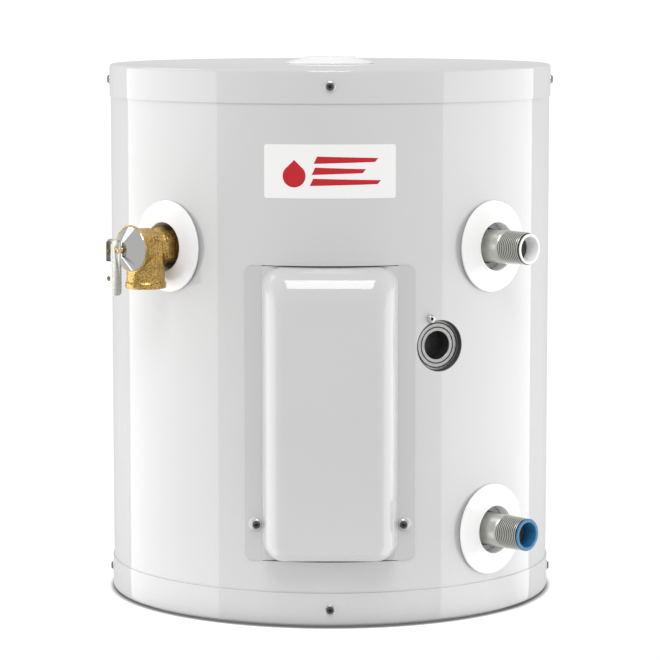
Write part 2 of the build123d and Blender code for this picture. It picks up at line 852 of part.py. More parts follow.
# --- Spring bracket: loops the element spud and clips the thermostat's sides
bracket_back = tank_r + 0.3
clip_x = thermostat_half_w + 0.2
clip_low_z = thermostat_low_z + 18
clip_high_z = thermostat_low_z + 42
with BuildPart() as thermostat_bracket:
    with BuildSketch(front(bracket_back)):
        with Locations((0, element_z)):
            Circle(element_spud_r + 6)
        with Locations((0, (element_z + clip_high_z) / 2)):
            Rectangle(2 * (clip_x + bracket_t), clip_high_z - element_z)
        with Locations((0, element_z)):
            Circle(element_spud_r + 0.2, mode=Mode.SUBTRACT)
    extrude(amount=bracket_t)
    with BuildSketch(front(bracket_back)):
        with Locations(
            (-clip_x - bracket_t / 2, (clip_low_z + clip_high_z) / 2),
            (clip_x + bracket_t / 2, (clip_low_z + clip_high_z) / 2),
        ):
            Rectangle(bracket_t, clip_high_z - clip_low_z)
    extrude(amount=thermostat_front + 1.2 - bracket_back)
    with BuildSketch(front(thermostat_front + 0.2)):
        with Locations(
            (-clip_x + 1, (clip_low_z + clip_high_z) / 2),
            (clip_x - 1, (clip_low_z + clip_high_z) / 2),
        ):
            Rectangle(2 + 2 * bracket_t, clip_high_z - clip_low_z)
    extrude(amount=bracket_t)
write(thermostat_bracket, "thermostat_bracket")

# --- Leads from the thermostat's lower terminals to the element
lead_out = 9.0
lead_top_z = thermostat_low_z + terminal_inset - terminal_head_r - lead_r - 0.3
lead_end_z = element_z - 4.5
with BuildPart() as element_leads:
    for side in (-1, 1):
        with BuildLine() as run:
            FilletPolyline(
                (side * terminal_x, -thermostat_front, lead_top_z),
                (side * terminal_x, -thermostat_front - lead_out, lead_top_z),
                (side * terminal_x, -block_front - lead_out, (lead_top_z + lead_end_z) / 2 + 4),
                (side * element_screw_x, -block_front - lead_out, lead_end_z),
                (side * element_screw_x, -block_front, lead_end_z),
                radius=5,
            )
        with BuildSketch(front(thermostat_front)):
            with Locations((side * terminal_x, lead_top_z)):
                Circle(lead_r)
        sweep(path=run.wires()[0])
write(element_leads, "element_leads")

# --- Cable entry: a cup set in the jacket with a knockout plate for a floor
with BuildPart() as cable_entry_cup:
    with BuildSketch(facing(entry_azimuth, entry_floor, entry_z)):
        Circle(entry_r - liner_fit)
        Circle(entry_r - liner_fit - entry_wall, mode=Mode.SUBTRACT)
    extrude(amount=entry_depth - 1.0)
write(cable_entry_cup, "cable_entry_cup")

with BuildPart() as knockout_plate:
    with BuildSketch(facing(entry_azimuth, entry_floor - knockout_t, entry_z)):
        Circle(entry_r - liner_fit)
        Circle(entry_bore_r, mode=Mode.SUBTRACT)
    extrude(amount=knockout_t)
    with BuildSketch(facing(entry_azimuth, entry_floor, entry_z)):
        for radius in knockout_radii:
            Circle(radius + knockout_groove / 2)
            Circle(radius - knockout_groove / 2, mode=Mode.SUBTRACT)
            Circle(entry_bore_r + 0.1, mode=Mode.ADD)
            Circle(entry_bore_r + 0.1, mode=Mode.SUBTRACT)
    extrude(amount=-knockout_t / 2, mode=Mode.SUBTRACT)
write(knockout_plate, "knockout_plate")

with BuildPart() as ground_screw:
    add(screw(facing(ground_azimuth, jacket_r, ground_z), 0, 0, ground_head_r, ground_head_h, shank_r, shank_l))
write(ground_screw, "ground_screw")

# --- Dams: sleeves that keep the foam away from the fittings
with BuildPart() as fitting_dams:
    for height in (upper_fitting_z, lower_fitting_z):
        with BuildSketch(facing(side_azimuth, tank_r - 10, height)):
            Circle(dam_r)
        extrude(amount=dam_face - tank_r + 10)
    with BuildSketch(Plane.XY):
        Circle(tank_r + foam_gap)
    extrude(amount=body_h, mode=Mode.SUBTRACT)
    for height in (upper_fitting_z, lower_fitting_z):
        with BuildSketch(facing(side_azimuth, tank_r - 10, height)):
            Circle(nipple_dam_bore_r)
        extrude(amount=dam_face - tank_r + 20, mode=Mode.SUBTRACT)
        with BuildSketch(facing(side_azimuth, tank_r - 10, height)):
            Circle(spud_r + weld_gap)
        extrude(amount=spud_face + foam_gap - tank_r + 10, mode=Mode.SUBTRACT)
write(fitting_dams, "fitting_dams")

with BuildPart() as relief_dam:
    with BuildSketch(facing(relief_azimuth, tank_r - 10, upper_fitting_z)):
        Circle(dam_r)
    extrude(amount=dam_face - tank_r + 10)
    with BuildSketch(Plane.XY):
        Circle(tank_r + foam_gap)
    extrude(amount=body_h, mode=Mode.SUBTRACT)
    with BuildSketch(facing(relief_azimuth, tank_r - 10, upper_fitting_z)):
        Circle(spud_r + weld_gap)
    extrude(amount=dam_face - tank_r + 20, mode=Mode.SUBTRACT)
write(relief_dam, "relief_dam")

anode_dam_top_z = body_h - escutcheon_collar_l - dam_gap
with BuildPart() as anode_dam:
    with BuildSketch(Plane.XY.offset(tank_crown_z + 1)):
        Circle(dam_r)
        Circle(spud_r + weld_gap, mode=Mode.SUBTRACT)
    extrude(amount=anode_dam_top_z - tank_crown_z - 1)
write(anode_dam, "anode_dam")

pocket_dam_half_w = pocket_half_w + pocket_dam_t
pocket_dam_half_h = cover_h / 2 - 2
pocket_front = plate_back - 1.0
with BuildPart() as pocket_dam:
    with BuildSketch(front(tank_r - 20)):
        with Locations((0, cover_mid_z)):
            RectangleRounded(2 * pocket_dam_half_w, 2 * pocket_dam_half_h, 12)
            RectangleRounded(2 * pocket_half_w, 2 * (pocket_dam_half_h - pocket_dam_t), 8, mode=Mode.SUBTRACT)
    extrude(amount=pocket_front - tank_r + 20)
    with BuildSketch(Plane.XY):
        Circle(tank_r + foam_gap)
    extrude(amount=body_h, mode=Mode.SUBTRACT)
    with BuildSketch(Plane.YZ.offset(pocket_half_w - 5)):
        with Locations((-(tank_r + 10), entry_z)):
            Circle(tunnel_r)
    extrude(amount=20, mode=Mode.SUBTRACT)
    with BuildSketch(Plane.XY):
        Circle(jacket_inner_r - foam_gap)
    extrude(amount=body_h, mode=Mode.INTERSECT)
write(pocket_dam, "pocket_dam")

# --- Support pad under the tank
with BuildPart() as base_pad:
    with BuildSketch(Plane.XY.offset(sheet_t + foam_gap)):
        Circle(tank_r)
        Circle(tank_r - 60, mode=Mode.SUBTRACT)
    extrude(amount=tank_low_z - sheet_t - 2 * foam_gap)
write(base_pad, "base_pad")

# --- Foam: fills what is left between the tank and the jacket
foam_low_z = sheet_t + foam_gap
foam_high_z = body_h - sheet_t - foam_gap
dome_rim_z = tank_high_z + 2 * foam_gap
dome_crown_z = dome_rim_z + top_head_rise
with BuildPart() as foam_insulation:
    with BuildSketch(Plane.XZ):
        with BuildLine():
            foam_r = jacket_inner_r - foam_gap
            bore = tank_r + foam_gap
            Polyline(
                (bore, foam_low_z),
                (foam_r - cap_edge_r, foam_low_z),
                (foam_r, foam_low_z + cap_edge_r),
                (foam_r, foam_high_z - cap_edge_r),
                (foam_r - cap_edge_r, foam_high_z),
                (dam_r + foam_gap, foam_high_z),
                (dam_r + foam_gap, tank_high_z + foam_gap),
                (bore, tank_high_z + foam_gap),
                (bore, foam_low_z),
            )
        make_face()
    revolve(axis=Axis.Z)
    with BuildSketch(Plane.XZ):
        with BuildLine():
            ThreePointArc(
                (tank_inner_r, dome_rim_z), dome_mid(tank_inner_r, dome_rim_z, top_head_rise), (0, dome_crown_z)
            )
            Polyline(
                (0, dome_crown_z), (0, tank_high_z - 1), (tank_inner_r, tank_high_z - 1), (tank_inner_r, dome_rim_z)
            )
        make_face()
    revolve(axis=Axis.Z, mode=Mode.SUBTRACT)
    for azimuth, height in fittings:
        with BuildSketch(facing(azimuth, tank_r - 20, height)):
            Circle(dam_r + foam_gap)
        extrude(amount=jacket_r - tank_r + 40, mode=Mode.SUBTRACT)
    with BuildSketch(front(tank_r - 20)):
        with Locations((0, cover_mid_z)):
            RectangleRounded(2 * (pocket_dam_half_w + foam_gap), 2 * (pocket_dam_half_h + foam_gap), 12)
    extrude(amount=jacket_r - tank_r + 40, mode=Mode.SUBTRACT)
    with BuildSketch(front(plate_back - foam_gap)):
        with Locations((0, cover_mid_z)):
            Rectangle(2 * cover_crease_x + 4, cover_h + 4)
    extrude(amount=20, mode=Mode.SUBTRACT)
    with BuildSketch(facing(entry_azimuth, entry_floor - knockout_t - 16, entry_z)):
        Circle(entry_r + foam_gap)
    extrude(amount=40, mode=Mode.SUBTRACT)
    with BuildSketch(Plane.YZ.offset(pocket_half_w)):
        with Locations((-(tank_r + 10), entry_z)):
            Circle(tunnel_r)
    extrude(amount=30, mode=Mode.SUBTRACT)
    for azimuth in cap_screw_azimuths:
        for height in (pan_screw_z, lid_screw_z):
            with BuildSketch(facing(azimuth, cap_r - shank_l - 2, height)):
                Circle(screw_well)
            extrude(amount=30, mode=Mode.SUBTRACT)
    with BuildSketch(facing(ground_azimuth, jacket_r - shank_l - 2, ground_z)):
        Circle(screw_well)
    extrude(amount=30, mode=Mode.SUBTRACT)
    with BuildSketch(front(cover_seat - shank_l - 2)):
        with Locations((-cover_screw_x, cover_screw_z), (cover_screw_x, cover_screw_z)):
            Circle(screw_well)
    extrude(amount=30, mode=Mode.SUBTRACT)
write(foam_insulation, "foam_insulation")

# --- Relief valve body: one brass casting with a side outlet that points down
relief_axis = fitting_axis(relief_azimuth, upper_fitting_z)
chamber_from = seat_at + 2.5
mouth_z = upper_fitting_z - outlet_drop
outlet_centre = outward(relief_azimuth) * outlet_at
mouth = Plane(origin=outlet_centre + Vector(0, 0, mouth_z), x_dir=(1, 0, 0), z_dir=(0, 0, 1))
with BuildPart() as relief_body:
    with BuildSketch(lengthwise(relief_azimuth, upper_fitting_z)):
        with BuildLine():
            Polyline(
                (relief_shank_in, 0),
                (relief_shank_in, pipe_r),
                (hex_from, pipe_r),
                (hex_to, neck_r),
                (collar_from, neck_r),
                (collar_from, barrel_r),
                (collar_to + 2, barrel_r),
            )
            Spline(
                (collar_to + 2, barrel_r),
                ((collar_to + 2 + rim_at) / 2, barrel_r + 0.9),
                (rim_at, rim_r),
                tangents=((1, 0), (1, 0.5)),
            )
            Polyline((rim_at, rim_r), (rim_at, 0), (relief_shank_in, 0))
        make_face()
    revolve(axis=relief_axis)
    with BuildSketch(facing(relief_azimuth, hex_from, upper_fitting_z)):
        RegularPolygon(hex_af / 2, 6, major_radius=False, rotation=30)
    extrude(amount=hex_to - hex_from)
    with BuildSketch(facing(relief_azimuth, collar_from, upper_fitting_z)):
        with Locations((0, (collar_up - collar_down) / 2)):
            Rectangle(collar_w, collar_up + collar_down)
    extrude(amount=collar_to - collar_from)
    with BuildSketch(mouth):
        Circle(outlet_r)
    extrude(amount=outlet_drop - 4)
    with BuildSketch(mouth):
        Circle(outlet_bead_r)
    extrude(amount=outlet_bead_h)
    with BuildSketch(facing(relief_azimuth, relief_shank_in, upper_fitting_z)):
        Circle(inlet_bore_r)
    extrude(amount=seat_at + 5 - relief_shank_in, mode=Mode.SUBTRACT)
    with BuildSketch(facing(relief_azimuth, chamber_from, upper_fitting_z)):
        Circle(chamber_r)
    extrude(amount=30, mode=Mode.SUBTRACT)
    with BuildSketch(facing(relief_azimuth, bonnet_base_at, upper_fitting_z)):
        Circle(bonnet_base_r + thread_fit)
    extrude(amount=10, mode=Mode.SUBTRACT)
    with BuildSketch(mouth):
        Circle(outlet_thread_r)
    extrude(amount=outlet_thread_l, mode=Mode.SUBTRACT)
    with BuildSketch(mouth):
        Circle(outlet_bore_r)
    extrude(amount=outlet_drop - 4, mode=Mode.SUBTRACT)
write(relief_body, "relief_body")

# --- Bonnet: a spun cone crimped into the rim
cone_from = bonnet_base_at + bonnet_base_t
with BuildPart() as relief_bonnet:
    with BuildSketch(lengthwise(relief_azimuth, upper_fitting_z)):
        with BuildLine():
            Polyline(
                (bonnet_base_at, chamber_r),
                (bonnet_base_at, bonnet_base_r),
                (cone_from, bonnet_base_r),
                (bonnet_top_at, bonnet_top_r),
                (bonnet_top_at, stem_bore_r),
                (bonnet_top_at - bonnet_wall, stem_bore_r),
                (bonnet_top_at - bonnet_wall, bonnet_top_r - bonnet_wall),
                (cone_from - 0.4, chamber_r),
                close=True,
            )
        make_face()
    revolve(axis=relief_axis)
write(relief_bonnet, "relief_bonnet")

# --- Stem, disc, spring and pin: they lift together off the seat
disc_from = chamber_from + moving_gap
stem_from = disc_from + disc_t
with BuildPart() as relief_stem:
    with BuildSketch(facing(relief_azimuth, stem_from, upper_fitting_z)):
        Circle(stem_r)
    extrude(amount=stem_tip - stem_from)
    with BuildSketch(lengthwise(relief_azimuth, upper_fitting_z)):
        with Locations((pin_at, 0)):
            Circle(pin_r)
    extrude(amount=5, both=True, mode=Mode.SUBTRACT)
write(relief_stem, "relief_stem")

with BuildPart() as relief_disc:
    with BuildSketch(facing(relief_azimuth, disc_from, upper_fitting_z)):
        Circle(disc_r)
    extrude(amount=disc_t)
write(relief_disc, "relief_disc")

spring_from = stem_from + spring_wire_r + 0.05
spring_to = bonnet_top_at - bonnet_wall - stem_lift - spring_wire_r - 2 * moving_gap
spring_pitch = (spring_to - spring_from) / spring_turns
with BuildPart() as relief_spring:
    with BuildLine() as coil:
        Helix(
            pitch=spring_pitch,
            height=spring_to - spring_from,
            radius=spring_r,
            center=outward(relief_azimuth) * spring_from + Vector(0, 0, upper_fitting_z),
            direction=outward(relief_azimuth),
        )
    with BuildSketch(Plane(origin=coil.line @ 0, z_dir=coil.line % 0)):
        Circle(spring_wire_r)
    sweep(path=coil.line, is_frenet=True)
write(relief_spring, "relief_spring")

pin_half = lever_w / 2 + pin_head_t
with BuildPart() as relief_pin:
    with BuildSketch(lengthwise(relief_azimuth, upper_fitting_z)):
        with Locations((pin_at, 0)):
            Circle(pin_r)
    extrude(amount=pin_half, both=True)
    for side in (-1, 1):
        with BuildSketch(lengthwise(relief_azimuth, upper_fitting_z).offset(side * (lever_w / 2 + pin_fit))):
            with Locations((pin_at, 0)):
                Circle(pin_head_r)
        extrude(amount=side * pin_head_t)
write(relief_pin, "relief_pin")

# --- Lever: a pressed channel that hangs from the pin
ear_w = lever_outer - ear_inner
with BuildPart() as relief_lever:
    with BuildSketch(lengthwise(relief_azimuth, upper_fitting_z)) as side_view:
        with Locations(((lever_outer + ear_inner) / 2, (ear_up - lever_down) / 2)):
            Rectangle(ear_w, ear_up + lever_down)
        fillet(side_view.vertices().group_by(Axis.Y)[-1], ear_w / 2 - 0.05)
        fillet(side_view.vertices().group_by(Axis.Y)[0].sort_by(Axis.X)[0], 3)
    extrude(amount=lever_w / 2, both=True)
    with BuildSketch(lengthwise(relief_azimuth, upper_fitting_z)):
        with Locations(((lever_outer - lever_t + ear_inner - 1) / 2, (ear_up - lever_down) / 2)):
            Rectangle(lever_outer - lever_t - ear_inner + 1, ear_up + lever_down + 4)
        with Locations(((lever_outer + ear_inner) / 2, (ear_up + 2 - web_below) / 2)):
            Rectangle(ear_w + 4, ear_up + 2 + web_below)
    extrude(amount=lever_w / 2 - lever_t, both=True, mode=Mode.SUBTRACT)
    with BuildSketch(lengthwise(relief_azimuth, upper_fitting_z)):
        with Locations((pin_at, 0)):
            Circle(pin_r + pin_fit)
    extrude(amount=lever_w, both=True, mode=Mode.SUBTRACT)
    with BuildSketch(facing(relief_azimuth, lever_outer - 3, upper_fitting_z - web_hole_below)):
        Circle(web_hole_r)
    extrude(amount=6, mode=Mode.SUBTRACT)
write(relief_lever, "relief_lever")

# --- Probe: the thermal element that opens the valve when the tank overheats
with BuildPart() as relief_probe:
    with BuildSketch(facing(relief_azimuth, probe_end, upper_fitting_z)):
        Circle(probe_r)
    extrude(amount=relief_shank_in + 12 - probe_end)
    with BuildSketch(facing(relief_azimuth, relief_shank_in + 4, upper_fitting_z)):
        Circle(inlet_bore_r - thread_fit)
    extrude(amount=2)
write(relief_probe, "relief_probe")
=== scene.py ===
import json
from math import atan2, cos, degrees, pi, radians, sin, sqrt

import bpy
from mathutils import Matrix, Vector


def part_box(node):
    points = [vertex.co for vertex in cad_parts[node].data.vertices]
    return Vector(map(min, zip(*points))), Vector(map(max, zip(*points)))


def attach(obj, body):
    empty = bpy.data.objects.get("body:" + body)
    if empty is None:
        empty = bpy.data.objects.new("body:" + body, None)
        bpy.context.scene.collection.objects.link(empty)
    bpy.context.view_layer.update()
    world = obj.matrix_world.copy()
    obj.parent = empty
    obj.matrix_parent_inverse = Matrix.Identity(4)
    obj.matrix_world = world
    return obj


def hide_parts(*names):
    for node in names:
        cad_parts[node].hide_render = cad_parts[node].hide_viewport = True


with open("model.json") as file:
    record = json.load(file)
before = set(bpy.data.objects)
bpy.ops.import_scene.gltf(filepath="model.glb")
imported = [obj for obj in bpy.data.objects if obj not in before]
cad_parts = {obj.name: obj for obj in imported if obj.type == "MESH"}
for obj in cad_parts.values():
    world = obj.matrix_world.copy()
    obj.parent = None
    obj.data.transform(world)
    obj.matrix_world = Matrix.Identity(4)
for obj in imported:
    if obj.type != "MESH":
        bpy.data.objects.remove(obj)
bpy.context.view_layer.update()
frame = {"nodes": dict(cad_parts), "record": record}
record = frame["record"]
mounts = {mount["name"]: mount for mount in record["mounts"]}

# Studio: the heater stands on a white floor in front of a white wall, seen level with its upper
# half through a long lens. Two tall soft boxes at its sides draw the upright bands in the gloss,
# one high behind it lights the chrome, and one overhead the shoulders.
camera_distance = 2.4557
camera_height = 0.498
camera_pitch = radians(6.66)
camera_data = bpy.data.cameras.new("camera")
camera_data.lens = 162.4
camera_data.sensor_width = 36.0
camera = bpy.data.objects.new("camera", camera_data)
camera.location = (0.0, -camera_distance, camera_height)
camera.rotation_euler = (pi / 2 - camera_pitch, 0.0, 0.0)
bpy.context.scene.collection.objects.link(camera)
bpy.context.scene.camera = camera
bpy.context.scene.view_settings.view_transform = "Standard"


def soft_box(name, azimuth, distance, width, height, centre_z, brightness):
    """An area light that faces the heater's axis. Its azimuth counts from the camera to the right."""
    light = bpy.data.lights.new(name, "AREA")
    light.shape = "RECTANGLE"
    light.size = width
    light.size_y = height
    light.energy = brightness * pi * width * height
    lamp = bpy.data.objects.new(name, light)
    angle = radians(azimuth)
    lamp.location = (distance * sin(angle), -distance * cos(angle), centre_z)
    lamp.rotation_euler = (pi / 2, 0.0, angle)
    bpy.context.scene.collection.objects.link(lamp)
    return lamp


for side, name in ((1, "right"), (-1, "left")):
    soft_box(f"{name}_soft_box", side * 91.5, 1.6, 2.17, 2.6, -0.55, 1.62)
soft_box("rear_soft_box", -112.0, 1.6, 1.3, 1.2, 2.0, 1.7)
overhead = bpy.data.lights.new("overhead", "AREA")
overhead.shape = "RECTANGLE"
overhead.size = 0.9
overhead.size_y = 1.7
overhead.energy = 36.0
overhead_lamp = bpy.data.objects.new("overhead", overhead)
overhead_lamp.location = (0.0, -1.85, 2.84)
overhead_lamp.rotation_euler = (radians(33.0), 0.0, 0.0)
bpy.context.scene.collection.objects.link(overhead_lamp)

world = bpy.data.worlds.new("white_wall")
world.use_nodes = True
bpy.context.scene.world = world
wall = world.node_tree.nodes["Background"]
wall.inputs["Color"].default_value = (1.0, 1.0, 1.0, 1.0)
seen = world.node_tree.nodes.new("ShaderNodeLightPath")
level = world.node_tree.nodes.new("ShaderNodeMix")
level.inputs["A"].default_value = 0.70
level.inputs["B"].default_value = 1.05
world.node_tree.links.new(seen.outputs["Is Camera Ray"], level.inputs["Factor"])
world.node_tree.links.new(level.outputs["Result"], wall.inputs["Strength"])

bpy.ops.object.select_all(action="DESELECT")
bpy.ops.mesh.primitive_circle_add(vertices=180, radius=0.3, fill_type="NGON")
floor = bpy.context.active_object
floor.name = "floor"
floor_paper = bpy.data.materials.new("floor_paper")
floor_paper.use_nodes = True
paper = floor_paper.node_tree.nodes["Principled BSDF"]
paper.inputs["Base Color"].default_value = (0.85, 0.85, 0.85, 1.0)
paper.inputs["Roughness"].default_value = 0.9
paper.inputs["Specular IOR Level"].default_value = 0.0
paper.inputs["Emission Color"].default_value = (1.0, 1.0, 1.0, 1.0)
paper_nodes = floor_paper.node_tree.nodes
paper_links = floor_paper.node_tree.links
# Painted contact shadow: the floor glows evenly white, but its glow and its colour fall off in a ring round
# the heater's foot, which paints the shadow there.
from_middle = paper_nodes.new("ShaderNodeVectorMath")
from_middle.operation = "DISTANCE"
from_middle.inputs[1].default_value = (0.0, -0.007, 0.0)
painted_shadow_glow = paper_nodes.new("ShaderNodeMapRange")
painted_shadow_glow.interpolation_type = "SMOOTHSTEP"
painted_shadow_glow.inputs["From Min"].default_value = 0.178
painted_shadow_glow.inputs["From Max"].default_value = 0.186
painted_shadow_glow.inputs["To Min"].default_value = 0.0
painted_shadow_glow.inputs["To Max"].default_value = 0.35
paper_links.new(paper_nodes.new("ShaderNodeTexCoord").outputs["Object"], from_middle.inputs[0])
paper_links.new(from_middle.outputs["Value"], painted_shadow_glow.inputs["Value"])
shade = paper_nodes.new("ShaderNodeMapRange")
shade.inputs["From Max"].default_value = 0.35
shade.inputs["To Min"].default_value = 0.2
shade.inputs["To Max"].default_value = 0.85
paper_links.new(painted_shadow_glow.outputs["Result"], paper.inputs["Emission Strength"])
paper_links.new(painted_shadow_glow.outputs["Result"], shade.inputs["Value"])
paper_links.new(shade.outputs["Result"], paper.inputs["Base Color"])
floor.data.materials.append(floor_paper)
floor.visible_glossy = False


# White enamel: sheet steel, powder coated and baked, with the faint orange peel of the spray.
# The jacket, the lid, the pan and the access cover share it.
def finish_named(name, colour, roughness, metallic=0.0):
    """A new material: its shader, and the Object coordinates that its patterns read."""
    material = bpy.data.materials.new(name)
    material.use_nodes = True
    nodes = material.node_tree.nodes
    shader = nodes["Principled BSDF"]
    shader.inputs["Base Color"].default_value = (*colour, 1.0)
    shader.inputs["Roughness"].default_value = roughness
    shader.inputs["Metallic"].default_value = metallic
    nodes.new("ShaderNodeTexCoord").name = "place"
    return material


def speckle(material, size, detail=2.0):
    """Noise of a grain size in metres, read on the piece's own coordinates."""
    nodes = material.node_tree.nodes
    noise = nodes.new("ShaderNodeTexNoise")
    noise.inputs["Scale"].default_value = 1.0 / size
    noise.inputs["Detail"].default_value = detail
    material.node_tree.links.new(nodes["place"].outputs["Object"], noise.inputs["Vector"])
    return noise


def relief(material, size, depth, strength=1.0, detail=2.0):
    """Bump from noise: grain size and depth in metres. A second call adds to the first."""
    nodes = material.node_tree.nodes
    links = material.node_tree.links
    noise = speckle(material, size, detail)
    bump = nodes.new("ShaderNodeBump")
    bump.inputs["Distance"].default_value = depth
    bump.inputs["Strength"].default_value = strength
    links.new(noise.outputs["Fac"], bump.inputs["Height"])
    normal = nodes["Principled BSDF"].inputs["Normal"]
    if normal.is_linked:
        links.new(normal.links[0].from_socket, bump.inputs["Normal"])
    links.new(bump.outputs["Normal"], normal)


def mottle(material, size, other, low, high, detail=4.0):
    """Blends the base colour towards another one where noise rises from low to high."""
    nodes = material.node_tree.nodes
    links = material.node_tree.links
    base = nodes["Principled BSDF"].inputs["Base Color"]
    noise = speckle(material, size, detail)
    span = nodes.new("ShaderNodeMapRange")
    span.inputs["From Min"].default_value = low
    span.inputs["From Max"].default_value = high
    mix = nodes.new("ShaderNodeMix")
    mix.data_type = "RGBA"
    if base.is_linked:
        links.new(base.links[0].from_socket, mix.inputs["A"])
    else:
        mix.inputs["A"].default_value = base.default_value
    mix.inputs["B"].default_value = (*other, 1.0)
    links.new(noise.outputs["Fac"], span.inputs["Value"])
    links.new(span.outputs["Result"], mix.inputs["Factor"])
    links.new(mix.outputs["Result"], base)


def uneven_gloss(material, size, low, high):
    """Roughness that wanders between two values."""
    nodes = material.node_tree.nodes
    noise = speckle(material, size, 3.0)
    span = nodes.new("ShaderNodeMapRange")
    span.inputs["From Min"].default_value = 0.35
    span.inputs["From Max"].default_value = 0.65
    span.inputs["To Min"].default_value = low
    span.inputs["To Max"].default_value = high
    material.node_tree.links.new(noise.outputs["Fac"], span.inputs["Value"])
    material.node_tree.links.new(span.outputs["Result"], nodes["Principled BSDF"].inputs["Roughness"])


enamel = finish_named("white_enamel", (0.60, 0.60, 0.60), 0.03)
mottle(enamel, 0.09, (0.588, 0.588, 0.586), 0.4, 0.7)
relief(enamel, 0.0035, 0.0000012, detail=1.0)


# Jacket: one sheet rolled to a tube, lock-seamed down the back, with a window for the cover and
# holes for the fittings. It is cut from an open tube and given the sheet's thickness.
def free_hands():
    """Leaves edit mode and selects nothing, as before any new primitive."""
    if bpy.context.active_object and bpy.context.active_object.mode != "OBJECT":
        bpy.ops.object.mode_set(mode="OBJECT")
    bpy.ops.object.select_all(action="DESELECT")


def take(piece):
    free_hands()
    piece.select_set(True)
    bpy.context.view_layer.objects.active = piece


def press(piece, kind, **settings):
    """Adds a modifier with these settings and applies it."""
    take(piece)
    modifier = piece.modifiers.new(kind.lower(), kind)
    for key, value in settings.items():
        setattr(modifier, key, value)
    bpy.ops.object.modifier_apply(modifier=modifier.name)


def cut(piece, cutter, operation="DIFFERENCE"):
    """Cuts a piece with another one, which is used up."""
    press(piece, "BOOLEAN", operation=operation, solver="EXACT", object=cutter)
    bpy.data.objects.remove(cutter)


def fix(piece, name, material, body, nodes=(), angle=32.0):
    """Finishes a piece: place into the mesh, smooth shading, material, and its place in the frame."""
    take(piece)
    piece.name = name
    piece.data.name = name
    bpy.ops.object.transform_apply(location=True, rotation=True, scale=True)
    bpy.ops.object.shade_smooth_by_angle(angle=radians(angle))
    if not piece.data.materials:
        piece.data.materials.append(material)
    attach(piece, body)
    if nodes:
        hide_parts(*nodes)
    return piece


def outward(azimuth):
    """Unit vector away from the heater's axis. Azimuths count from the front to the right."""
    return Vector((sin(radians(azimuth)), -cos(radians(azimuth)), 0.0))


def spot(azimuth, radius, height):
    return outward(azimuth) * radius + Vector((0.0, 0.0, height))


def rod(radius, centre, along, length, vertices=64):
    """A cylinder primitive laid along a direction."""
    free_hands()
    turn = Vector(along).to_track_quat("Z", "Y").to_euler()
    bpy.ops.mesh.primitive_cylinder_add(
        vertices=vertices, radius=radius, depth=length, location=centre, rotation=turn
    )
    return bpy.context.active_object


def block(low, high):
    """A cube primitive stretched between two corners."""
    free_hands()
    low, high = Vector(low), Vector(high)
    bpy.ops.mesh.primitive_cube_add(size=1.0, location=(low + high) / 2, scale=high - low)
    return bpy.context.active_object


sheet_t = 0.0008
jacket_low, jacket_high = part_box("jacket")
jacket_r = jacket_high.x
round_steps = 360
side_azimuth = 45.0
relief_azimuth = -45.0
hot_z = mounts["hot_outlet"]["pos_m"][2]
cold_z = mounts["cold_inlet"]["pos_m"][2]
hub_hole_r = 0.02105
entry_at = Vector(mounts["cable_entry"]["pos_m"])
entry_azimuth = degrees(atan2(entry_at.x, -entry_at.y))
entry_hole_r = 0.02015
cover_low, cover_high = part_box("access_cover")
crease_x = 0.0526
window_margin = 0.0006
seam_half_w = 0.006

free_hands()
bpy.ops.mesh.primitive_cylinder_add(
    vertices=round_steps,
    radius=jacket_r,
    depth=jacket_high.z - jacket_low.z,
    end_fill_type="NOTHING",
    location=(0.0, 0.0, (jacket_low.z + jacket_high.z) / 2),
)
jacket = bpy.context.active_object
press(jacket, "SOLIDIFY", thickness=sheet_t, offset=-1.0)
cut(
    jacket,
    block(
        (-crease_x, -1.2 * jacket_r, cover_low.z - window_margin),
        (crease_x, -0.5 * jacket_r, cover_high.z + window_margin),
    ),
)
for azimuth, height in ((side_azimuth, hot_z), (side_azimuth, cold_z), (relief_azimuth, hot_z)):
    cut(jacket, rod(hub_hole_r, spot(azimuth, jacket_r, height), outward(azimuth), 0.05))
cut(jacket, rod(entry_hole_r, spot(entry_azimuth, jacket_r, entry_at.z), outward(entry_azimuth), 0.03, 96))
fix(jacket, "jacket", enamel, "cabinet", ["jacket"])

seam_low = jacket_low.z + 0.0235
seam_high = jacket_high.z - 0.0235
seam = block((-seam_half_w, jacket_r - 0.0004, seam_low), (seam_half_w, jacket_high.y, seam_high))
press(seam, "BEVEL", width=0.0003, segments=3)
fix(seam, "jacket_lock_seam", enamel, "cabinet")


# Lid and pan: deep-drawn caps with a small edge radius, lapping the jacket by an inch.
# The lid has the hole over the anode.
cap_edge_r = 0.0025


def drawn_cap(node, inward):
    """A cap from a tube closed at one end, bevelled round its edge."""
    low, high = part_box(node)
    free_hands()
    bpy.ops.mesh.primitive_cylinder_add(
        vertices=round_steps,
        radius=high.x,
        depth=high.z - low.z,
        location=(0.0, 0.0, (low.z + high.z) / 2),
    )
    cap = bpy.context.active_object
    bpy.ops.object.transform_apply(location=True)
    bpy.ops.object.mode_set(mode="EDIT")
    bpy.ops.mesh.select_mode(type="FACE")
    bpy.ops.mesh.select_all(action="DESELECT")
    bpy.ops.object.mode_set(mode="OBJECT")
    for face in cap.data.polygons:
        face.select = face.normal.z * inward > 0.9
    bpy.ops.object.mode_set(mode="EDIT")
    bpy.ops.mesh.delete(type="FACE")
    bpy.ops.object.mode_set(mode="OBJECT")
    for face in cap.data.polygons:
        face.select = face.normal.z * inward < -0.9
    bpy.ops.object.mode_set(mode="EDIT")
    bpy.ops.mesh.bevel(offset=cap_edge_r, segments=6, affect="EDGES")
    bpy.ops.mesh.select_all(action="DESELECT")
    bpy.ops.object.mode_set(mode="OBJECT")
    return cap


pan = drawn_cap("bottom_pan", 1.0)
press(pan, "SOLIDIFY", thickness=sheet_t, offset=-1.0)
fix(pan, "bottom_pan", enamel, "cabinet", ["bottom_pan"])

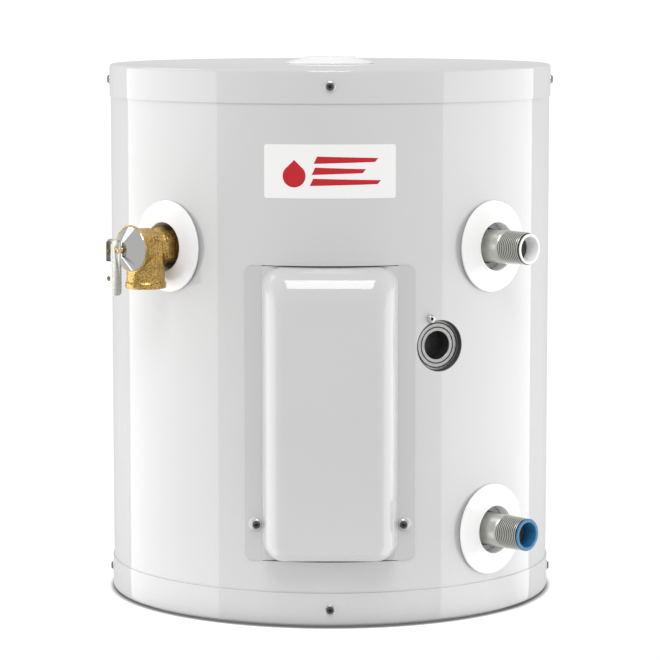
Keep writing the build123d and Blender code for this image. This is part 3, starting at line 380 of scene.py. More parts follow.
lid = drawn_cap("top_lid", -1.0)
press(lid, "SOLIDIFY", thickness=sheet_t, offset=-1.0)
cut(lid, rod(hub_hole_r, (0.0, 0.0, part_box("top_lid")[1].z), (0.0, 0.0, 1.0), 0.02, 96))
fix(lid, "top_lid", enamel, "cabinet", ["top_lid"])


# Access cover: drawn from one sheet. A deep box with soft shoulders rises from a flat plate, and
# a wing each side follows the jacket. Two embossed pads take the screws.
cover_half_w = 0.0662
cover_inner_r = jacket_r + 0.0003
cover_outer_r = cover_inner_r + sheet_t
plate_back = sqrt(cover_inner_r**2 - crease_x**2)
plate_front = plate_back + sheet_t
cover_seat = plate_front + 0.0001
box_half_w = 0.0516
box_depth = 0.0270
box_corner_r = 0.015
box_side_round, box_bottom_round, box_top_round = 0.018, 0.010, 0.030
box_squareness = 2.2
shoulder_steps = 18
foot_fillet = 0.0009
corner_cut_r = 0.006
cover_screw_xs = (-0.0572, 0.0572)
cover_screw_z = 0.0791
pad_r, pad_foot_r = 0.0048, 0.0064


def choose(piece, test):
    """In edit mode, selects the vertices whose place passes a test, and nothing else."""
    bpy.ops.mesh.select_mode(type="VERT")
    bpy.ops.mesh.select_all(action="DESELECT")
    bpy.ops.object.mode_set(mode="OBJECT")
    for vertex in piece.data.vertices:
        vertex.select = test(vertex.co)
    bpy.ops.object.mode_set(mode="EDIT")


def rounded_plate(half_w, low, high, y, corner_r, segments):
    """A flat face parallel to the front, with rounded corners, left in edit mode and selected."""
    free_hands()
    middle = (0.0, -y, (low + high) / 2)
    bpy.ops.mesh.primitive_plane_add(size=1.0, location=middle, rotation=(pi / 2, 0.0, 0.0))
    plate = bpy.context.active_object
    bpy.ops.object.transform_apply(location=True, rotation=True, scale=True)
    bpy.ops.object.mode_set(mode="EDIT")
    bpy.ops.mesh.select_all(action="SELECT")
    bpy.ops.transform.resize(value=(2 * half_w, 1.0, high - low), center_override=middle)
    bpy.ops.mesh.bevel(offset=corner_r, segments=segments, affect="VERTICES")
    bpy.ops.mesh.select_all(action="SELECT")
    return plate


def drawn_box(back, shrink, foot):
    """The box as a closed solid: its outline, extruded forwards in steps that close in round its face."""
    low, high = cover_low.z + 0.0006 + shrink, cover_high.z - 0.0004 - shrink
    half = box_half_w - shrink
    reach = plate_front + box_depth - shrink
    stages = []
    for step in range(1, foot + 1):
        turn = radians(90.0 * step / foot)
        flare = foot_fillet * (1 - sin(turn))
        y = plate_front + foot_fillet * (1 - cos(turn))
        stages.append((half + flare, low - 0.5 * flare, high + 0.3 * flare, y))
    start = stages[-1][3] if stages else back
    for step in range(1, shoulder_steps + 1):
        turn = radians(90.0 * step / shoulder_steps)
        out = sin(turn) ** (2 / box_squareness)
        closed = 1 - max(cos(turn), 0.0) ** (2 / box_squareness)
        stages.append(
            (
                half - box_side_round * closed,
                low + box_bottom_round * closed,
                high - box_top_round * closed,
                start + (reach - start) * out,
            )
        )
    base_half = half + (foot_fillet if foot else 0.0)
    solid = rounded_plate(base_half, low, high, back, box_corner_r - shrink, 14)
    wide, tall, middle, front = 2 * base_half, high - low, (low + high) / 2, back
    if foot:
        stages.insert(0, (base_half, low, high, plate_front))
    for new_half, new_low, new_high, new_front in stages:
        new_middle = (new_low + new_high) / 2
        bpy.ops.mesh.extrude_region_move(
            TRANSFORM_OT_translate={"value": (0.0, front - new_front, new_middle - middle)}
        )
        bpy.ops.transform.resize(
            value=(2 * new_half / wide, 1.0, (new_high - new_low) / tall),
            center_override=(0.0, -new_front, new_middle),
        )
        wide, tall, middle, front = 2 * new_half, new_high - new_low, new_middle, new_front
    bpy.ops.mesh.select_all(action="SELECT")
    bpy.ops.mesh.normals_make_consistent(inside=False)
    bpy.ops.object.mode_set(mode="OBJECT")
    return solid


free_hands()
bpy.ops.mesh.primitive_cylinder_add(
    vertices=720,
    radius=cover_outer_r,
    depth=cover_high.z - cover_low.z,
    end_fill_type="NOTHING",
    location=(0.0, 0.0, (cover_low.z + cover_high.z) / 2),
)
cover = bpy.context.active_object
bpy.ops.object.transform_apply(location=True)
bpy.ops.object.mode_set(mode="EDIT")
bpy.ops.mesh.select_all(action="SELECT")
bpy.ops.mesh.bisect(plane_co=(0.0, 0.0, 0.0), plane_no=(0.0, 1.0, 0.0), clear_outer=True)
for x, side in ((-cover_half_w, 1.0), (cover_half_w, -1.0)):
    bpy.ops.mesh.select_all(action="SELECT")
    bpy.ops.mesh.bisect(plane_co=(x, 0.0, 0.0), plane_no=(side, 0.0, 0.0), clear_inner=True)
for x in (-crease_x, crease_x):
    bpy.ops.mesh.select_all(action="SELECT")
    bpy.ops.mesh.bisect(plane_co=(x, 0.0, 0.0), plane_no=(1.0, 0.0, 0.0))
choose(cover, lambda place: abs(place.x) < crease_x + 0.00001)
bpy.ops.transform.resize(value=(1.0, 0.0, 1.0), center_override=(0.0, -plate_front, 0.0))
bpy.ops.object.mode_set(mode="OBJECT")
press(cover, "SOLIDIFY", thickness=sheet_t, offset=-1.0)
outline = rounded_plate(cover_half_w, cover_low.z, cover_high.z, 0.5 * jacket_r, corner_cut_r, 10)
bpy.ops.mesh.extrude_region_move(TRANSFORM_OT_translate={"value": (0.0, -jacket_r, 0.0)})
bpy.ops.mesh.select_all(action="SELECT")
bpy.ops.mesh.normals_make_consistent(inside=False)
bpy.ops.object.mode_set(mode="OBJECT")
cut(cover, outline, "INTERSECT")
for x in cover_screw_xs:
    free_hands()
    bpy.ops.mesh.primitive_cone_add(
        vertices=64,
        radius1=pad_foot_r,
        radius2=pad_r,
        depth=cover_seat - 0.1695,
        location=(x, -(cover_seat + 0.1695) / 2, cover_screw_z),
        rotation=(pi / 2, 0.0, 0.0),
    )
    pad = bpy.context.active_object
    cut(pad, rod(cover_inner_r, (0.0, 0.0, cover_screw_z), (0.0, 0.0, 1.0), 0.05, 720))
    cut(cover, pad, "UNION")
cut(cover, drawn_box(plate_back + sheet_t / 2, 0.0, 4), "UNION")
cut(cover, drawn_box(plate_back - 0.0005, sheet_t, 0))
# Painted shade: the wings take a darker copy of the white enamel, standing in for the shade they lie in
# beside the box.
wing_painted_shade = finish_named("wing_painted_shade", (0.53, 0.53, 0.53), 0.03)
mottle(wing_painted_shade, 0.09, (0.52, 0.52, 0.518), 0.4, 0.7)
relief(wing_painted_shade, 0.0035, 0.0000012, detail=1.0)
cover.data.materials.append(enamel)
cover.data.materials.append(wing_painted_shade)
for face in cover.data.polygons:
    on_wing = abs(face.center.x) > crease_x + 0.00005
    if on_wing and face.normal.y < -0.8 and face.center.y > -plate_front - 0.0001:
        face.material_index = 1
fix(cover, "access_cover", enamel, "access_cover", ["access_cover"], 30.0)


# Sheet screws: zinc-plated steel, cold-headed with a washer face and a square socket, then
# thread-rolled. Four hold the lid, four the pan and two the cover.
zinc = finish_named("zinc_screw", (0.62, 0.62, 0.61), 0.28, 1.0)
mottle(zinc, 0.0016, (0.50, 0.50, 0.49), 0.45, 0.7)
uneven_gloss(zinc, 0.0009, 0.2, 0.38)
relief(zinc, 0.0004, 0.000012)
# Painted shadow for the screw sockets: near black on their walls and floors.
socket_painted_shadow = finish_named("socket_shadow", (0.02, 0.02, 0.02), 0.7)
shank_l = 0.0095


def lathe(profile, centre, along, steps=96):
    """Spins a profile of (radius, distance) points about a line through centre."""
    free_hands()
    bpy.ops.mesh.primitive_plane_add(size=0.001)
    turned = bpy.context.active_object
    bpy.ops.object.mode_set(mode="EDIT")
    bpy.ops.mesh.select_mode(type="VERT")
    bpy.ops.mesh.select_all(action="SELECT")
    bpy.ops.mesh.merge(type="CENTER")
    bpy.ops.mesh.select_all(action="SELECT")
    bpy.ops.transform.translate(value=(profile[0][0], 0.0, profile[0][1]))
    for (r, s), (next_r, next_s) in zip(profile, profile[1:]):
        bpy.ops.mesh.extrude_vertices_move(TRANSFORM_OT_translate={"value": (next_r - r, 0.0, next_s - s)})
    bpy.ops.mesh.select_all(action="SELECT")
    bpy.ops.mesh.spin(steps=steps, angle=2 * pi, center=(0.0, 0.0, 0.0), axis=(0.0, 0.0, 1.0))
    bpy.ops.mesh.select_all(action="SELECT")
    bpy.ops.mesh.remove_doubles(threshold=0.000002)
    bpy.ops.mesh.select_all(action="SELECT")
    bpy.ops.mesh.normals_make_consistent(inside=False)
    bpy.ops.object.mode_set(mode="OBJECT")
    stand = Vector(along).to_track_quat("Z", "Y").to_matrix().to_4x4()
    turned.matrix_world = Matrix.Translation(Vector(centre)) @ stand
    bpy.ops.object.transform_apply(location=True, rotation=True, scale=True)
    return turned


def socket(piece, width, top, depth):
    """Sinks a square socket into a head that stands on +Z; its walls and floor take a black painted shadow.
    """
    cut(piece, block((-width / 2, -width / 2, top - depth), (width / 2, width / 2, top + 0.001)))
    piece.data.materials.append(zinc)
    piece.data.materials.append(socket_painted_shadow)
    for face in piece.data.polygons:
        reach = max(abs(face.center.x), abs(face.center.y))
        if reach < width / 2 + 0.00001 and top - depth - 0.00001 < face.center.z < top - 0.0001:
            face.material_index = 1


def set_out(model, seats):
    """One object of copies of a model that stands on +Z, each on a seat: place, direction, twist."""
    copies = []
    for centre, along, twist in seats:
        take(model)
        bpy.ops.object.duplicate()
        copy = bpy.context.active_object
        stand = Vector(along).to_track_quat("Z", "Y").to_matrix().to_4x4()
        turn = Matrix.Rotation(radians(twist), 4, "Z")
        copy.matrix_world = Matrix.Translation(Vector(centre)) @ stand @ turn
        bpy.ops.object.transform_apply(location=True, rotation=True, scale=True)
        copies.append(copy)
    free_hands()
    for copy in copies:
        copy.select_set(True)
    bpy.context.view_layer.objects.active = copies[0]
    bpy.ops.object.join()
    return copies[0]


screw_profile = [(0.0, -shank_l), (0.0008, -shank_l + 0.0002)]
for turn in range(6):
    root_s = -shank_l + 0.0012 + 0.0013 * turn
    screw_profile += [
        (0.0014, root_s),
        (0.0020, root_s + 0.0005),
        (0.0020, root_s + 0.0006),
        (0.0014, root_s + 0.0011),
    ]
screw_profile += [
    (0.0014, 0.0),
    (0.0041, 0.0),
    (0.0042, 0.0002),
    (0.0042, 0.0005),
    (0.0040, 0.0007),
    (0.0031, 0.0009),
    (0.0030, 0.0011),
    (0.0029, 0.0019),
    (0.0027, 0.00213),
    (0.0024, 0.0022),
    (0.0, 0.0022),
]
sheet_screw = lathe(screw_profile, (0.0, 0.0, 0.0), (0.0, 0.0, 1.0), 48)
socket(sheet_screw, 0.0024, 0.0022, 0.0013)
# Painted shade: the domed top of each sheet screw head is painted near black, standing in for the shade and
# dark reflection on the curved zinc.
head_painted_shade = finish_named("screw_head_painted_shade", (0.11, 0.11, 0.11), 0.3, 0.7)
mottle(head_painted_shade, 0.0012, (0.07, 0.07, 0.07), 0.42, 0.7)
sheet_screw.data.materials.append(head_painted_shade)
for face in sheet_screw.data.polygons:
    if face.center.z > 0.00095 and face.material_index == 0:
        face.material_index = 2
cap_screw_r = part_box("pan_screws")[1].x - 0.0022
for name, height in (("lid_screws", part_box("top_lid")[1].z - 0.013), ("pan_screws", 0.013)):
    seats = [
        (spot(azimuth, cap_screw_r, height), outward(azimuth), twist)
        for azimuth, twist in ((0, 12), (90, 40), (180, 65), (270, 25))
    ]
    fix(set_out(sheet_screw, seats), name, zinc, "cabinet", [name], 40.0)
seats = [
    ((x, -cover_seat, cover_screw_z), (0.0, -1.0, 0.0), twist)
    for x, twist in zip(cover_screw_xs, (20, -15))
]
cover_screws = set_out(sheet_screw, seats)
fix(cover_screws, "access_cover_screws", zinc, "access_cover", ["access_cover_screws"], 40.0)
bpy.data.objects.remove(sheet_screw)


# Ground screw: a taller cheese head beside the cable entry, for the bare earth wire.
ground_low, ground_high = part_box("ground_screw")
ground_azimuth = 25.6
ground_z = (ground_low.z + ground_high.z) / 2
ground_screw = lathe(
    [
        (0.0, -shank_l),
        (0.0020, -shank_l + 0.001),
        (0.0020, 0.0),
        (0.00315, 0.0),
        (0.00315, 0.0022),
        (0.0030, 0.0027),
        (0.0026, 0.0031),
        (0.0021, 0.0032),
        (0.0, 0.0032),
    ],
    (0.0, 0.0, 0.0),
    (0.0, 0.0, 1.0),
    64,
)
socket(ground_screw, 0.0021, 0.0032, 0.0016)
ground_turn = outward(ground_azimuth).to_track_quat("Z", "Y").to_matrix().to_4x4()
ground_screw.matrix_world = Matrix.Translation(spot(ground_azimuth, jacket_r, ground_z)) @ ground_turn
fix(ground_screw, "ground_screw", zinc, "cabinet", ["ground_screw"], 40.0)


# Badge: a satin foil label stuck to the jacket, printed with a plain red mark: a drop and three bars.
badge_low, badge_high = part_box("badge_label")
badge_r = -badge_low.y
foil = finish_named("badge_foil", (0.86, 0.86, 0.855), 0.22)
relief(foil, 0.0012, 0.0000015)
mottle(foil, 0.03, (0.845, 0.845, 0.84), 0.4, 0.7)


def curved_sheet(radius, thickness, solid):
    """What a flat-sided solid keeps where it passes through a thin sleeve round the heater."""
    free_hands()
    bpy.ops.mesh.primitive_cylinder_add(
        vertices=720,
        radius=radius,
        depth=0.1,
        end_fill_type="NOTHING",
        location=(0.0, 0.0, (badge_low.z + badge_high.z) / 2),
    )
    sleeve = bpy.context.active_object
    press(sleeve, "SOLIDIFY", thickness=thickness, offset=-1.0)
    cut(sleeve, solid, "INTERSECT")
    return sleeve


label = rounded_plate(badge_high.x, badge_low.z, badge_high.z, 0.5 * jacket_r, 0.002, 6)
bpy.ops.mesh.extrude_region_move(TRANSFORM_OT_translate={"value": (0.0, -jacket_r, 0.0)})
bpy.ops.mesh.select_all(action="SELECT")
bpy.ops.mesh.normals_make_consistent(inside=False)
bpy.ops.object.mode_set(mode="OBJECT")
label_sheet = curved_sheet(badge_r, badge_r - jacket_r, label)
fix(label_sheet, "badge_label", foil, "cabinet", ["badge_label"])

red_ink = finish_named("red_ink", (0.52, 0.004, 0.012), 0.25)
mottle(red_ink, 0.002, (0.48, 0.004, 0.012), 0.4, 0.7)
mark_z = (badge_low.z + badge_high.z) / 2
drop_r = 0.0088
drop_x = -0.0275
drop = rod(drop_r, (drop_x, -jacket_r, mark_z - 0.0035), (0.0, -1.0, 0.0), 0.02, 72)
tip = block((0.0, -jacket_r - 0.01, 0.0), (drop_r, -jacket_r + 0.01, drop_r))
take(tip)
bpy.ops.object.transform_apply(location=True, rotation=True, scale=True)
tip_place = Matrix.Translation((drop_x, 0.0, mark_z - 0.0035))
tip_stretch = Matrix.Diagonal((0.82, 1.0, 1.13, 1.0))
tip.matrix_world = tip_place @ tip_stretch @ Matrix.Rotation(radians(-45.0), 4, "Y")
bpy.ops.object.transform_apply(location=True, rotation=True, scale=True)
cut(drop, tip, "UNION")
marks = [drop]
for row, (left, right) in enumerate(((-0.0125, 0.0345), (-0.0140, 0.0250), (-0.0155, 0.0365))):
    top = mark_z + 0.0115 - 0.0085 * row
    bar = block((left, -jacket_r - 0.01, top - 0.0056), (right, -jacket_r + 0.01, top))
    take(bar)
    bpy.ops.object.transform_apply(location=True, rotation=True, scale=True)
    bpy.ops.object.mode_set(mode="EDIT")
    choose(bar, lambda place: place.z > top - 0.001)
    bpy.ops.transform.translate(value=(0.0026, 0.0, 0.0))
    choose(bar, lambda place: place.x > right - 0.001)
    bpy.ops.transform.resize(value=(1.0, 1.0, 0.55), center_override=(right, 0.0, top - 0.0028))
    bpy.ops.object.mode_set(mode="OBJECT")
    marks.append(bar)
free_hands()
for mark in marks:
    mark.select_set(True)
bpy.context.view_layer.objects.active = drop
bpy.ops.object.join()
fix(curved_sheet(badge_r + 0.00004, 0.00008, drop), "badge_mark", red_ink, "cabinet")


# Escutcheons: white injection-moulded cones that hide the holes round the two pipes, the relief
# valve and the anode. A collar behind each one grips the edge of its hole.
gloss_white = finish_named("white_plastic", (0.90, 0.90, 0.895), 0.14)
gloss_white.node_tree.nodes["Principled BSDF"].inputs["Coat Weight"].default_value = 0.25
mottle(gloss_white, 0.02, (0.88, 0.88, 0.875), 0.42, 0.7)
relief(gloss_white, 0.0018, 0.0000015)
escutcheon_r = 0.036
escutcheon_hole_r = 0.01875
escutcheon_top = 0.0055
escutcheon_profile = [
    (escutcheon_hole_r, -0.0038),
    (escutcheon_hole_r, 0.0048),
    (0.0189, 0.0052),
    (0.0192, 0.0054),
    (0.0196, 0.0055),
    (0.0202, 0.0055),
    (0.0206, 0.0053),
    (0.0209, 0.0050),
    (0.0213, 0.0047),
    (0.0353, 0.0015),
    (0.0358, 0.0012),
    (escutcheon_r, 0.0008),
    (escutcheon_r, 0.0002),
    (0.0358, 0.0),
    (0.0346, 0.0),
    (0.0206, 0.0033),
    (0.0205, -0.0036),
    (0.0203, -0.0038),
    (escutcheon_hole_r, -0.0038),
]
escutcheon_seat = jacket_r + 0.0001
for name, azimuth, height in (
    ("hot_escutcheon", side_azimuth, hot_z),
    ("cold_escutcheon", side_azimuth, cold_z),
    ("relief_escutcheon", relief_azimuth, hot_z),
):
    cone = lathe(escutcheon_profile, spot(azimuth, escutcheon_seat, height), outward(azimuth), 160)
    fix(cone, name, gloss_white, "cabinet", [name], 38.0)
anode_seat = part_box("anode_escutcheon")[1].z - escutcheon_top
cone = lathe(escutcheon_profile, (0.0, 0.0, anode_seat), (0.0, 0.0, 1.0), 160)
fix(cone, "anode_escutcheon", gloss_white, "cabinet", ["anode_escutcheon"], 38.0)


# Pipe nipples: zinc-plated steel pipe, cut with a taper thread of 14 turns to the inch. The crests
# run down by a thirty-second of the length towards the tip, as on any taper pipe.
pipe_zinc = finish_named("galvanised_steel", (0.62, 0.63, 0.58), 0.32, 0.9)
mottle(pipe_zinc, 0.004, (0.58, 0.59, 0.54), 0.42, 0.68)
uneven_gloss(pipe_zinc, 0.003, 0.28, 0.36)
relief(pipe_zinc, 0.0011, 0.000003)
# Painted shade: the thread's roots and lower flanks take a near-black steel, standing in for the shade in the
# grooves.
thread_groove_shade = finish_named("thread_groove_painted_shade", (0.07, 0.07, 0.063), 0.4, 0.8)
mottle(thread_groove_shade, 0.001, (0.05, 0.05, 0.045), 0.42, 0.7)
relief(thread_groove_shade, 0.0005, 0.000004)
pipe_r = mounts["hot_outlet"]["dims"]["r_mm"] / 1000
pipe_bore_r = 0.0107
barrel_r = pipe_r - 0.0003
nipple_tip = 0.2183
nipple_root = 0.1431
thread_pitch = 0.001814
thread_turns = 12
thread_from = nipple_tip - thread_pitch * thread_turns - 0.0002
thread_root_r = 0.0120
flank_r = 0.0129
crest_drop = 0.00066


def pipe_nipple(azimuth, height, name):
    """The plain pipe by lathe, and a thread that the Screw modifier winds on it and a taper thins."""
    pipe = lathe(
        [
            (pipe_bore_r, nipple_root),
            (pipe_bore_r, nipple_tip - 0.0006),
            (pipe_bore_r + 0.0004, nipple_tip),
            (thread_root_r - 0.0006, nipple_tip),
            (thread_root_r - 0.0004, thread_from + 0.001),
            (barrel_r - 0.0009, thread_from - 0.0001),
            (barrel_r - 0.0003, thread_from - 0.0008),
            (barrel_r, thread_from - 0.0016),
            (barrel_r, nipple_root + 0.001),
            (barrel_r - 0.001, nipple_root),
            (pipe_bore_r, nipple_root),
        ],
        spot(azimuth, 0.0, height),
        outward(azimuth),
        128,
    )
    free_hands()
    bpy.ops.mesh.primitive_plane_add(size=0.001)
    thread = bpy.context.active_object
    bpy.ops.object.mode_set(mode="EDIT")
    bpy.ops.mesh.select_mode(type="VERT")
    bpy.ops.mesh.select_all(action="SELECT")
    bpy.ops.mesh.merge(type="CENTER")
    bpy.ops.mesh.select_all(action="SELECT")
    tooth = [(thread_root_r, 0.0), (flank_r, 0.0004), (pipe_r - 0.0002, 0.00072), (pipe_r, 0.00084)]
    tooth += [(pipe_r, 0.00098), (pipe_r - 0.0002, 0.0011), (flank_r, 0.00142), (thread_root_r, thread_pitch)]
    bpy.ops.transform.translate(value=(tooth[0][0], 0.0, tooth[0][1]))
    for (r, s), (next_r, next_s) in zip(tooth, tooth[1:]):
        bpy.ops.mesh.extrude_vertices_move(TRANSFORM_OT_translate={"value": (next_r - r, 0.0, next_s - s)})
    bpy.ops.object.mode_set(mode="OBJECT")
    length = thread_pitch * (thread_turns - 1)
    press(
        thread,
        "SCREW",
        angle=2 * pi * (thread_turns - 1),
        steps=72 * (thread_turns - 1),
        render_steps=72 * (thread_turns - 1),
        screw_offset=length,
        use_smooth_shade=False,
        axis="Z",
    )
    press(thread, "SIMPLE_DEFORM", deform_method="TAPER", factor=-crest_drop / pipe_r, deform_axis="Z")
    stand = outward(azimuth).to_track_quat("Z", "Y").to_matrix().to_4x4()
    thread.matrix_world = Matrix.Translation(spot(azimuth, thread_from, height)) @ stand
    bpy.ops.object.transform_apply(location=True, rotation=True, scale=True)
    bpy.ops.object.mode_set(mode="EDIT")
    bpy.ops.mesh.select_all(action="SELECT")
    bpy.ops.mesh.remove_doubles(threshold=0.000002)
    bpy.ops.mesh.select_all(action="SELECT")
    bpy.ops.mesh.normals_make_consistent(inside=False)
    bpy.ops.object.mode_set(mode="OBJECT")
    free_hands()
    thread.select_set(True)
    pipe.select_set(True)
    bpy.context.view_layer.objects.active = pipe
    bpy.ops.object.join()
    pipe.data.materials.append(pipe_zinc)
    pipe.data.materials.append(thread_groove_shade)
    # Faces in the thread grooves, below the flank radius, take the painted shade.
    for face in pipe.data.polygons:
        out = face.center.dot(outward(azimuth))
        off_axis = (face.center - spot(azimuth, out, height)).length
        thinned = 1 - crest_drop / pipe_r * max(out - thread_from, 0.0) / length
        if thread_from < out < nipple_tip - 0.0002 and thread_root_r - 0.0008 < off_axis < flank_r * thinned:
            face.material_index = 1
    return fix(pipe, name, pipe_zinc, "cabinet", [name], 30.0)


pipe_nipple(side_azimuth, hot_z, "hot_nipple")
pipe_nipple(side_azimuth, cold_z, "cold_nipple")


# Heat-trap liners: polypropylene sleeves pressed into the pipes, white for hot and blue for cold.
# Each holds a rubber flap that stops warm water from creeping out.
white_liner = finish_named("white_liner", (0.86, 0.86, 0.86), 0.2)
relief(white_liner, 0.0015, 0.000004)
mottle(white_liner, 0.006, (0.83, 0.83, 0.83), 0.42, 0.7)
blue_liner = finish_named("blue_liner", (0.022, 0.165, 0.33), 0.24)
relief(blue_liner, 0.0015, 0.000006)
mottle(blue_liner, 0.003, (0.017, 0.13, 0.26), 0.42, 0.68)
flap_rubber = finish_named("olive_rubber", (0.045, 0.050, 0.038), 0.5)
mottle(flap_rubber, 0.002, (0.07, 0.075, 0.06), 0.42, 0.7)
relief(flap_rubber, 0.0009, 0.00002)
liner_tip = 0.2193
liner_r, liner_bore_r = 0.01065, 0.00985
liner_l = 0.040
for side, height, lip_r, plastic, liner_slot in (
    ("hot", hot_z, 0.01185, white_liner, "white_liner"),
    ("cold", cold_z, 0.0128, blue_liner, "blue_liner"),
):
    sleeve = lathe(
        [
            (liner_bore_r, liner_tip - liner_l),
            (liner_bore_r, liner_tip - 0.0004),
            (liner_bore_r + 0.0002, liner_tip - 0.0001),
            (liner_bore_r + 0.0005, liner_tip),
            (lip_r - 0.0004, liner_tip),
            (lip_r - 0.0001, liner_tip - 0.00015),
            (lip_r, liner_tip - 0.0004),
            (lip_r, liner_tip - 0.00095),
            (liner_r, liner_tip - 0.00095),
            (liner_r, liner_tip - liner_l),
            (liner_bore_r, liner_tip - liner_l),
        ],
        spot(side_azimuth, 0.0, height),
        outward(side_azimuth),
        128,
    )
    fix(sleeve, f"{side}_liner", plastic, "cabinet", [f"{side}_liner"], 40.0)
    flap = lathe(
        [
            (0.0, liner_tip - 0.0128),
            (0.0090, liner_tip - 0.0128),
            (0.00965, liner_tip - 0.0125),
            (0.00970, liner_tip - 0.0120),
            (0.0092, liner_tip - 0.0116),
            (0.0070, liner_tip - 0.0117),
            (0.0066, liner_tip - 0.0121),
            (0.0, liner_tip - 0.0121),
        ],
        spot(side_azimuth, 0.0, height),
        outward(side_azimuth),
        96,
    )
    fix(flap, f"{side}_trap_flap", flap_rubber, "cabinet", [f"{side}_trap_flap"], 40.0)


# Cable entry: a galvanised cup pressed into the jacket. Its floor is a plate with concentric
# knockouts for the three trade sizes; the smallest is out.
galvanised = finish_named("zinc_sheet", (0.38, 0.38, 0.375), 0.36, 0.85)
mottle(galvanised, 0.0035, (0.34, 0.34, 0.335), 0.4, 0.66, 6.0)
uneven_gloss(galvanised, 0.002, 0.3, 0.42)
relief(galvanised, 0.0012, 0.000005)
# Painted shade: the cup's walls and the sunk faces of the knockout grooves take a near-black material,
# standing in for the shade inside the recess.
entry_painted_shade = finish_named("entry_painted_shade", (0.055, 0.055, 0.055), 0.5, 0.2)
mottle(entry_painted_shade, 0.003, (0.04, 0.04, 0.04), 0.42, 0.7)
relief(entry_painted_shade, 0.0012, 0.00001)
entry_floor = jacket_r - 0.005
cup_r = 0.0201
bore_r = mounts["cable_entry"]["dims"]["r_mm"] / 1000
cup = lathe(
    [
        (cup_r - 0.0008, 0.0),
        (cup_r - 0.0008, 0.0037),
        (cup_r - 0.0006, 0.0040),
        (cup_r - 0.0002, 0.0040),
        (cup_r, 0.0038),
        (cup_r, 0.0),
        (cup_r - 0.0008, 0.0),
    ],
    spot(entry_azimuth, entry_floor, entry_at.z),
    outward(entry_azimuth),
    160,
)
fix(cup, "cable_entry_cup", entry_painted_shade, "cabinet", ["cable_entry_cup"], 40.0)

plate_profile = [(bore_r, -0.0012), (bore_r, -0.0002), (bore_r + 0.0002, 0.0)]
for groove_r in (0.0141, 0.01745):
    plate_profile += [
        (groove_r - 0.0005, 0.0),
        (groove_r - 0.00035, -0.0002),
        (groove_r - 0.0003, -0.0008),
        (groove_r + 0.0003, -0.0008),
        (groove_r + 0.00035, -0.0002),
        (groove_r + 0.0005, 0.0),
    ]
plate_profile += [(cup_r, 0.0), (cup_r, -0.0012), (bore_r, -0.0012)]
knockouts = lathe(plate_profile, spot(entry_azimuth, entry_floor, entry_at.z), outward(entry_azimuth), 160)
knockouts.data.materials.append(galvanised)
knockouts.data.materials.append(entry_painted_shade)
# Sunk groove faces away from the bore take the painted shade.
for face in knockouts.data.polygons:
    sunk = face.center.dot(outward(entry_azimuth)) < entry_floor - 0.00005
    if sunk and (face.center - spot(entry_azimuth, entry_floor, entry_at.z)).length > 0.0132:
        face.material_index = 1
fix(knockouts, "knockout_plate", galvanised, "cabinet", ["knockout_plate"], 30.0)


# Bore shadow: a black cup behind the knockout plate, put there as painted shadow so that the open knockout
# reads dark.
bore_shadow_black = finish_named("bore_painted_shadow", (0.03, 0.03, 0.03), 0.45)
relief(bore_shadow_black, 0.001, 0.00002)
mottle(bore_shadow_black, 0.003, (0.045, 0.045, 0.045), 0.42, 0.7)
bore_shadow_cup = lathe(
    [
        (0.0, -0.0155),
        (0.0122, -0.0155),
        (0.0128, -0.0149),
        (0.0128, -0.0013),
        (0.0118, -0.0013),
        (0.0118, -0.0140),
        (0.0114, -0.0146),
        (0.0, -0.0146),
    ],
    spot(entry_azimuth, entry_floor, entry_at.z),
    outward(entry_azimuth),
    96,
)
fix(bore_shadow_cup, "bore_shadow_cup", bore_shadow_black, "cabinet", (), 40.0)


# Relief valve body: one sand casting in brass, its skin left rough and only the threads and the
# seat machined. A hexagon, a square collar, a flared barrel and an outlet that points down.
brass_skin = finish_named("cast_brass", (0.72, 0.48, 0.15), 0.32, 1.0)
mottle(brass_skin, 0.006, (0.56, 0.36, 0.11), 0.42, 0.66)
mottle(brass_skin, 0.0008, (0.16, 0.10, 0.04), 0.48, 0.62, 3.0)
uneven_gloss(brass_skin, 0.0012, 0.26, 0.5)
relief(brass_skin, 0.0007, 0.00012, 0.9)
relief(brass_skin, 0.0016, 0.00008, 0.6)
valve_out = outward(relief_azimuth)
valve_right = Vector((-valve_out.y, valve_out.x, 0.0))
valve_z = hot_z


def on_valve(along, right, up):
    """A point of the relief valve: distance from the heater's axis, to its right, and up."""
    return valve_out * along + valve_right * right + Vector((0.0, 0.0, valve_z + up))


def valve_block(along, right, up):
    """A block square to the valve, from three (low, high) spans."""
    free_hands()
    bpy.ops.mesh.primitive_cube_add(size=1.0)
    slab = bpy.context.active_object
    turn = Matrix((valve_out, valve_right, Vector((0.0, 0.0, 1.0)))).transposed().to_4x4()
    spans = (along, right, up)
    slab.matrix_world = (
        Matrix.Translation(on_valve(*(sum(span) / 2 for span in spans)))
        @ turn
        @ Matrix.Diagonal((*(high - low for low, high in spans), 1.0))
    )
    bpy.ops.object.transform_apply(location=True, rotation=True, scale=True)
    bpy.ops.object.mode_set(mode="EDIT")
    bpy.ops.mesh.select_all(action="SELECT")
    bpy.ops.mesh.normals_make_consistent(inside=False)
    bpy.ops.object.mode_set(mode="OBJECT")
    return slab


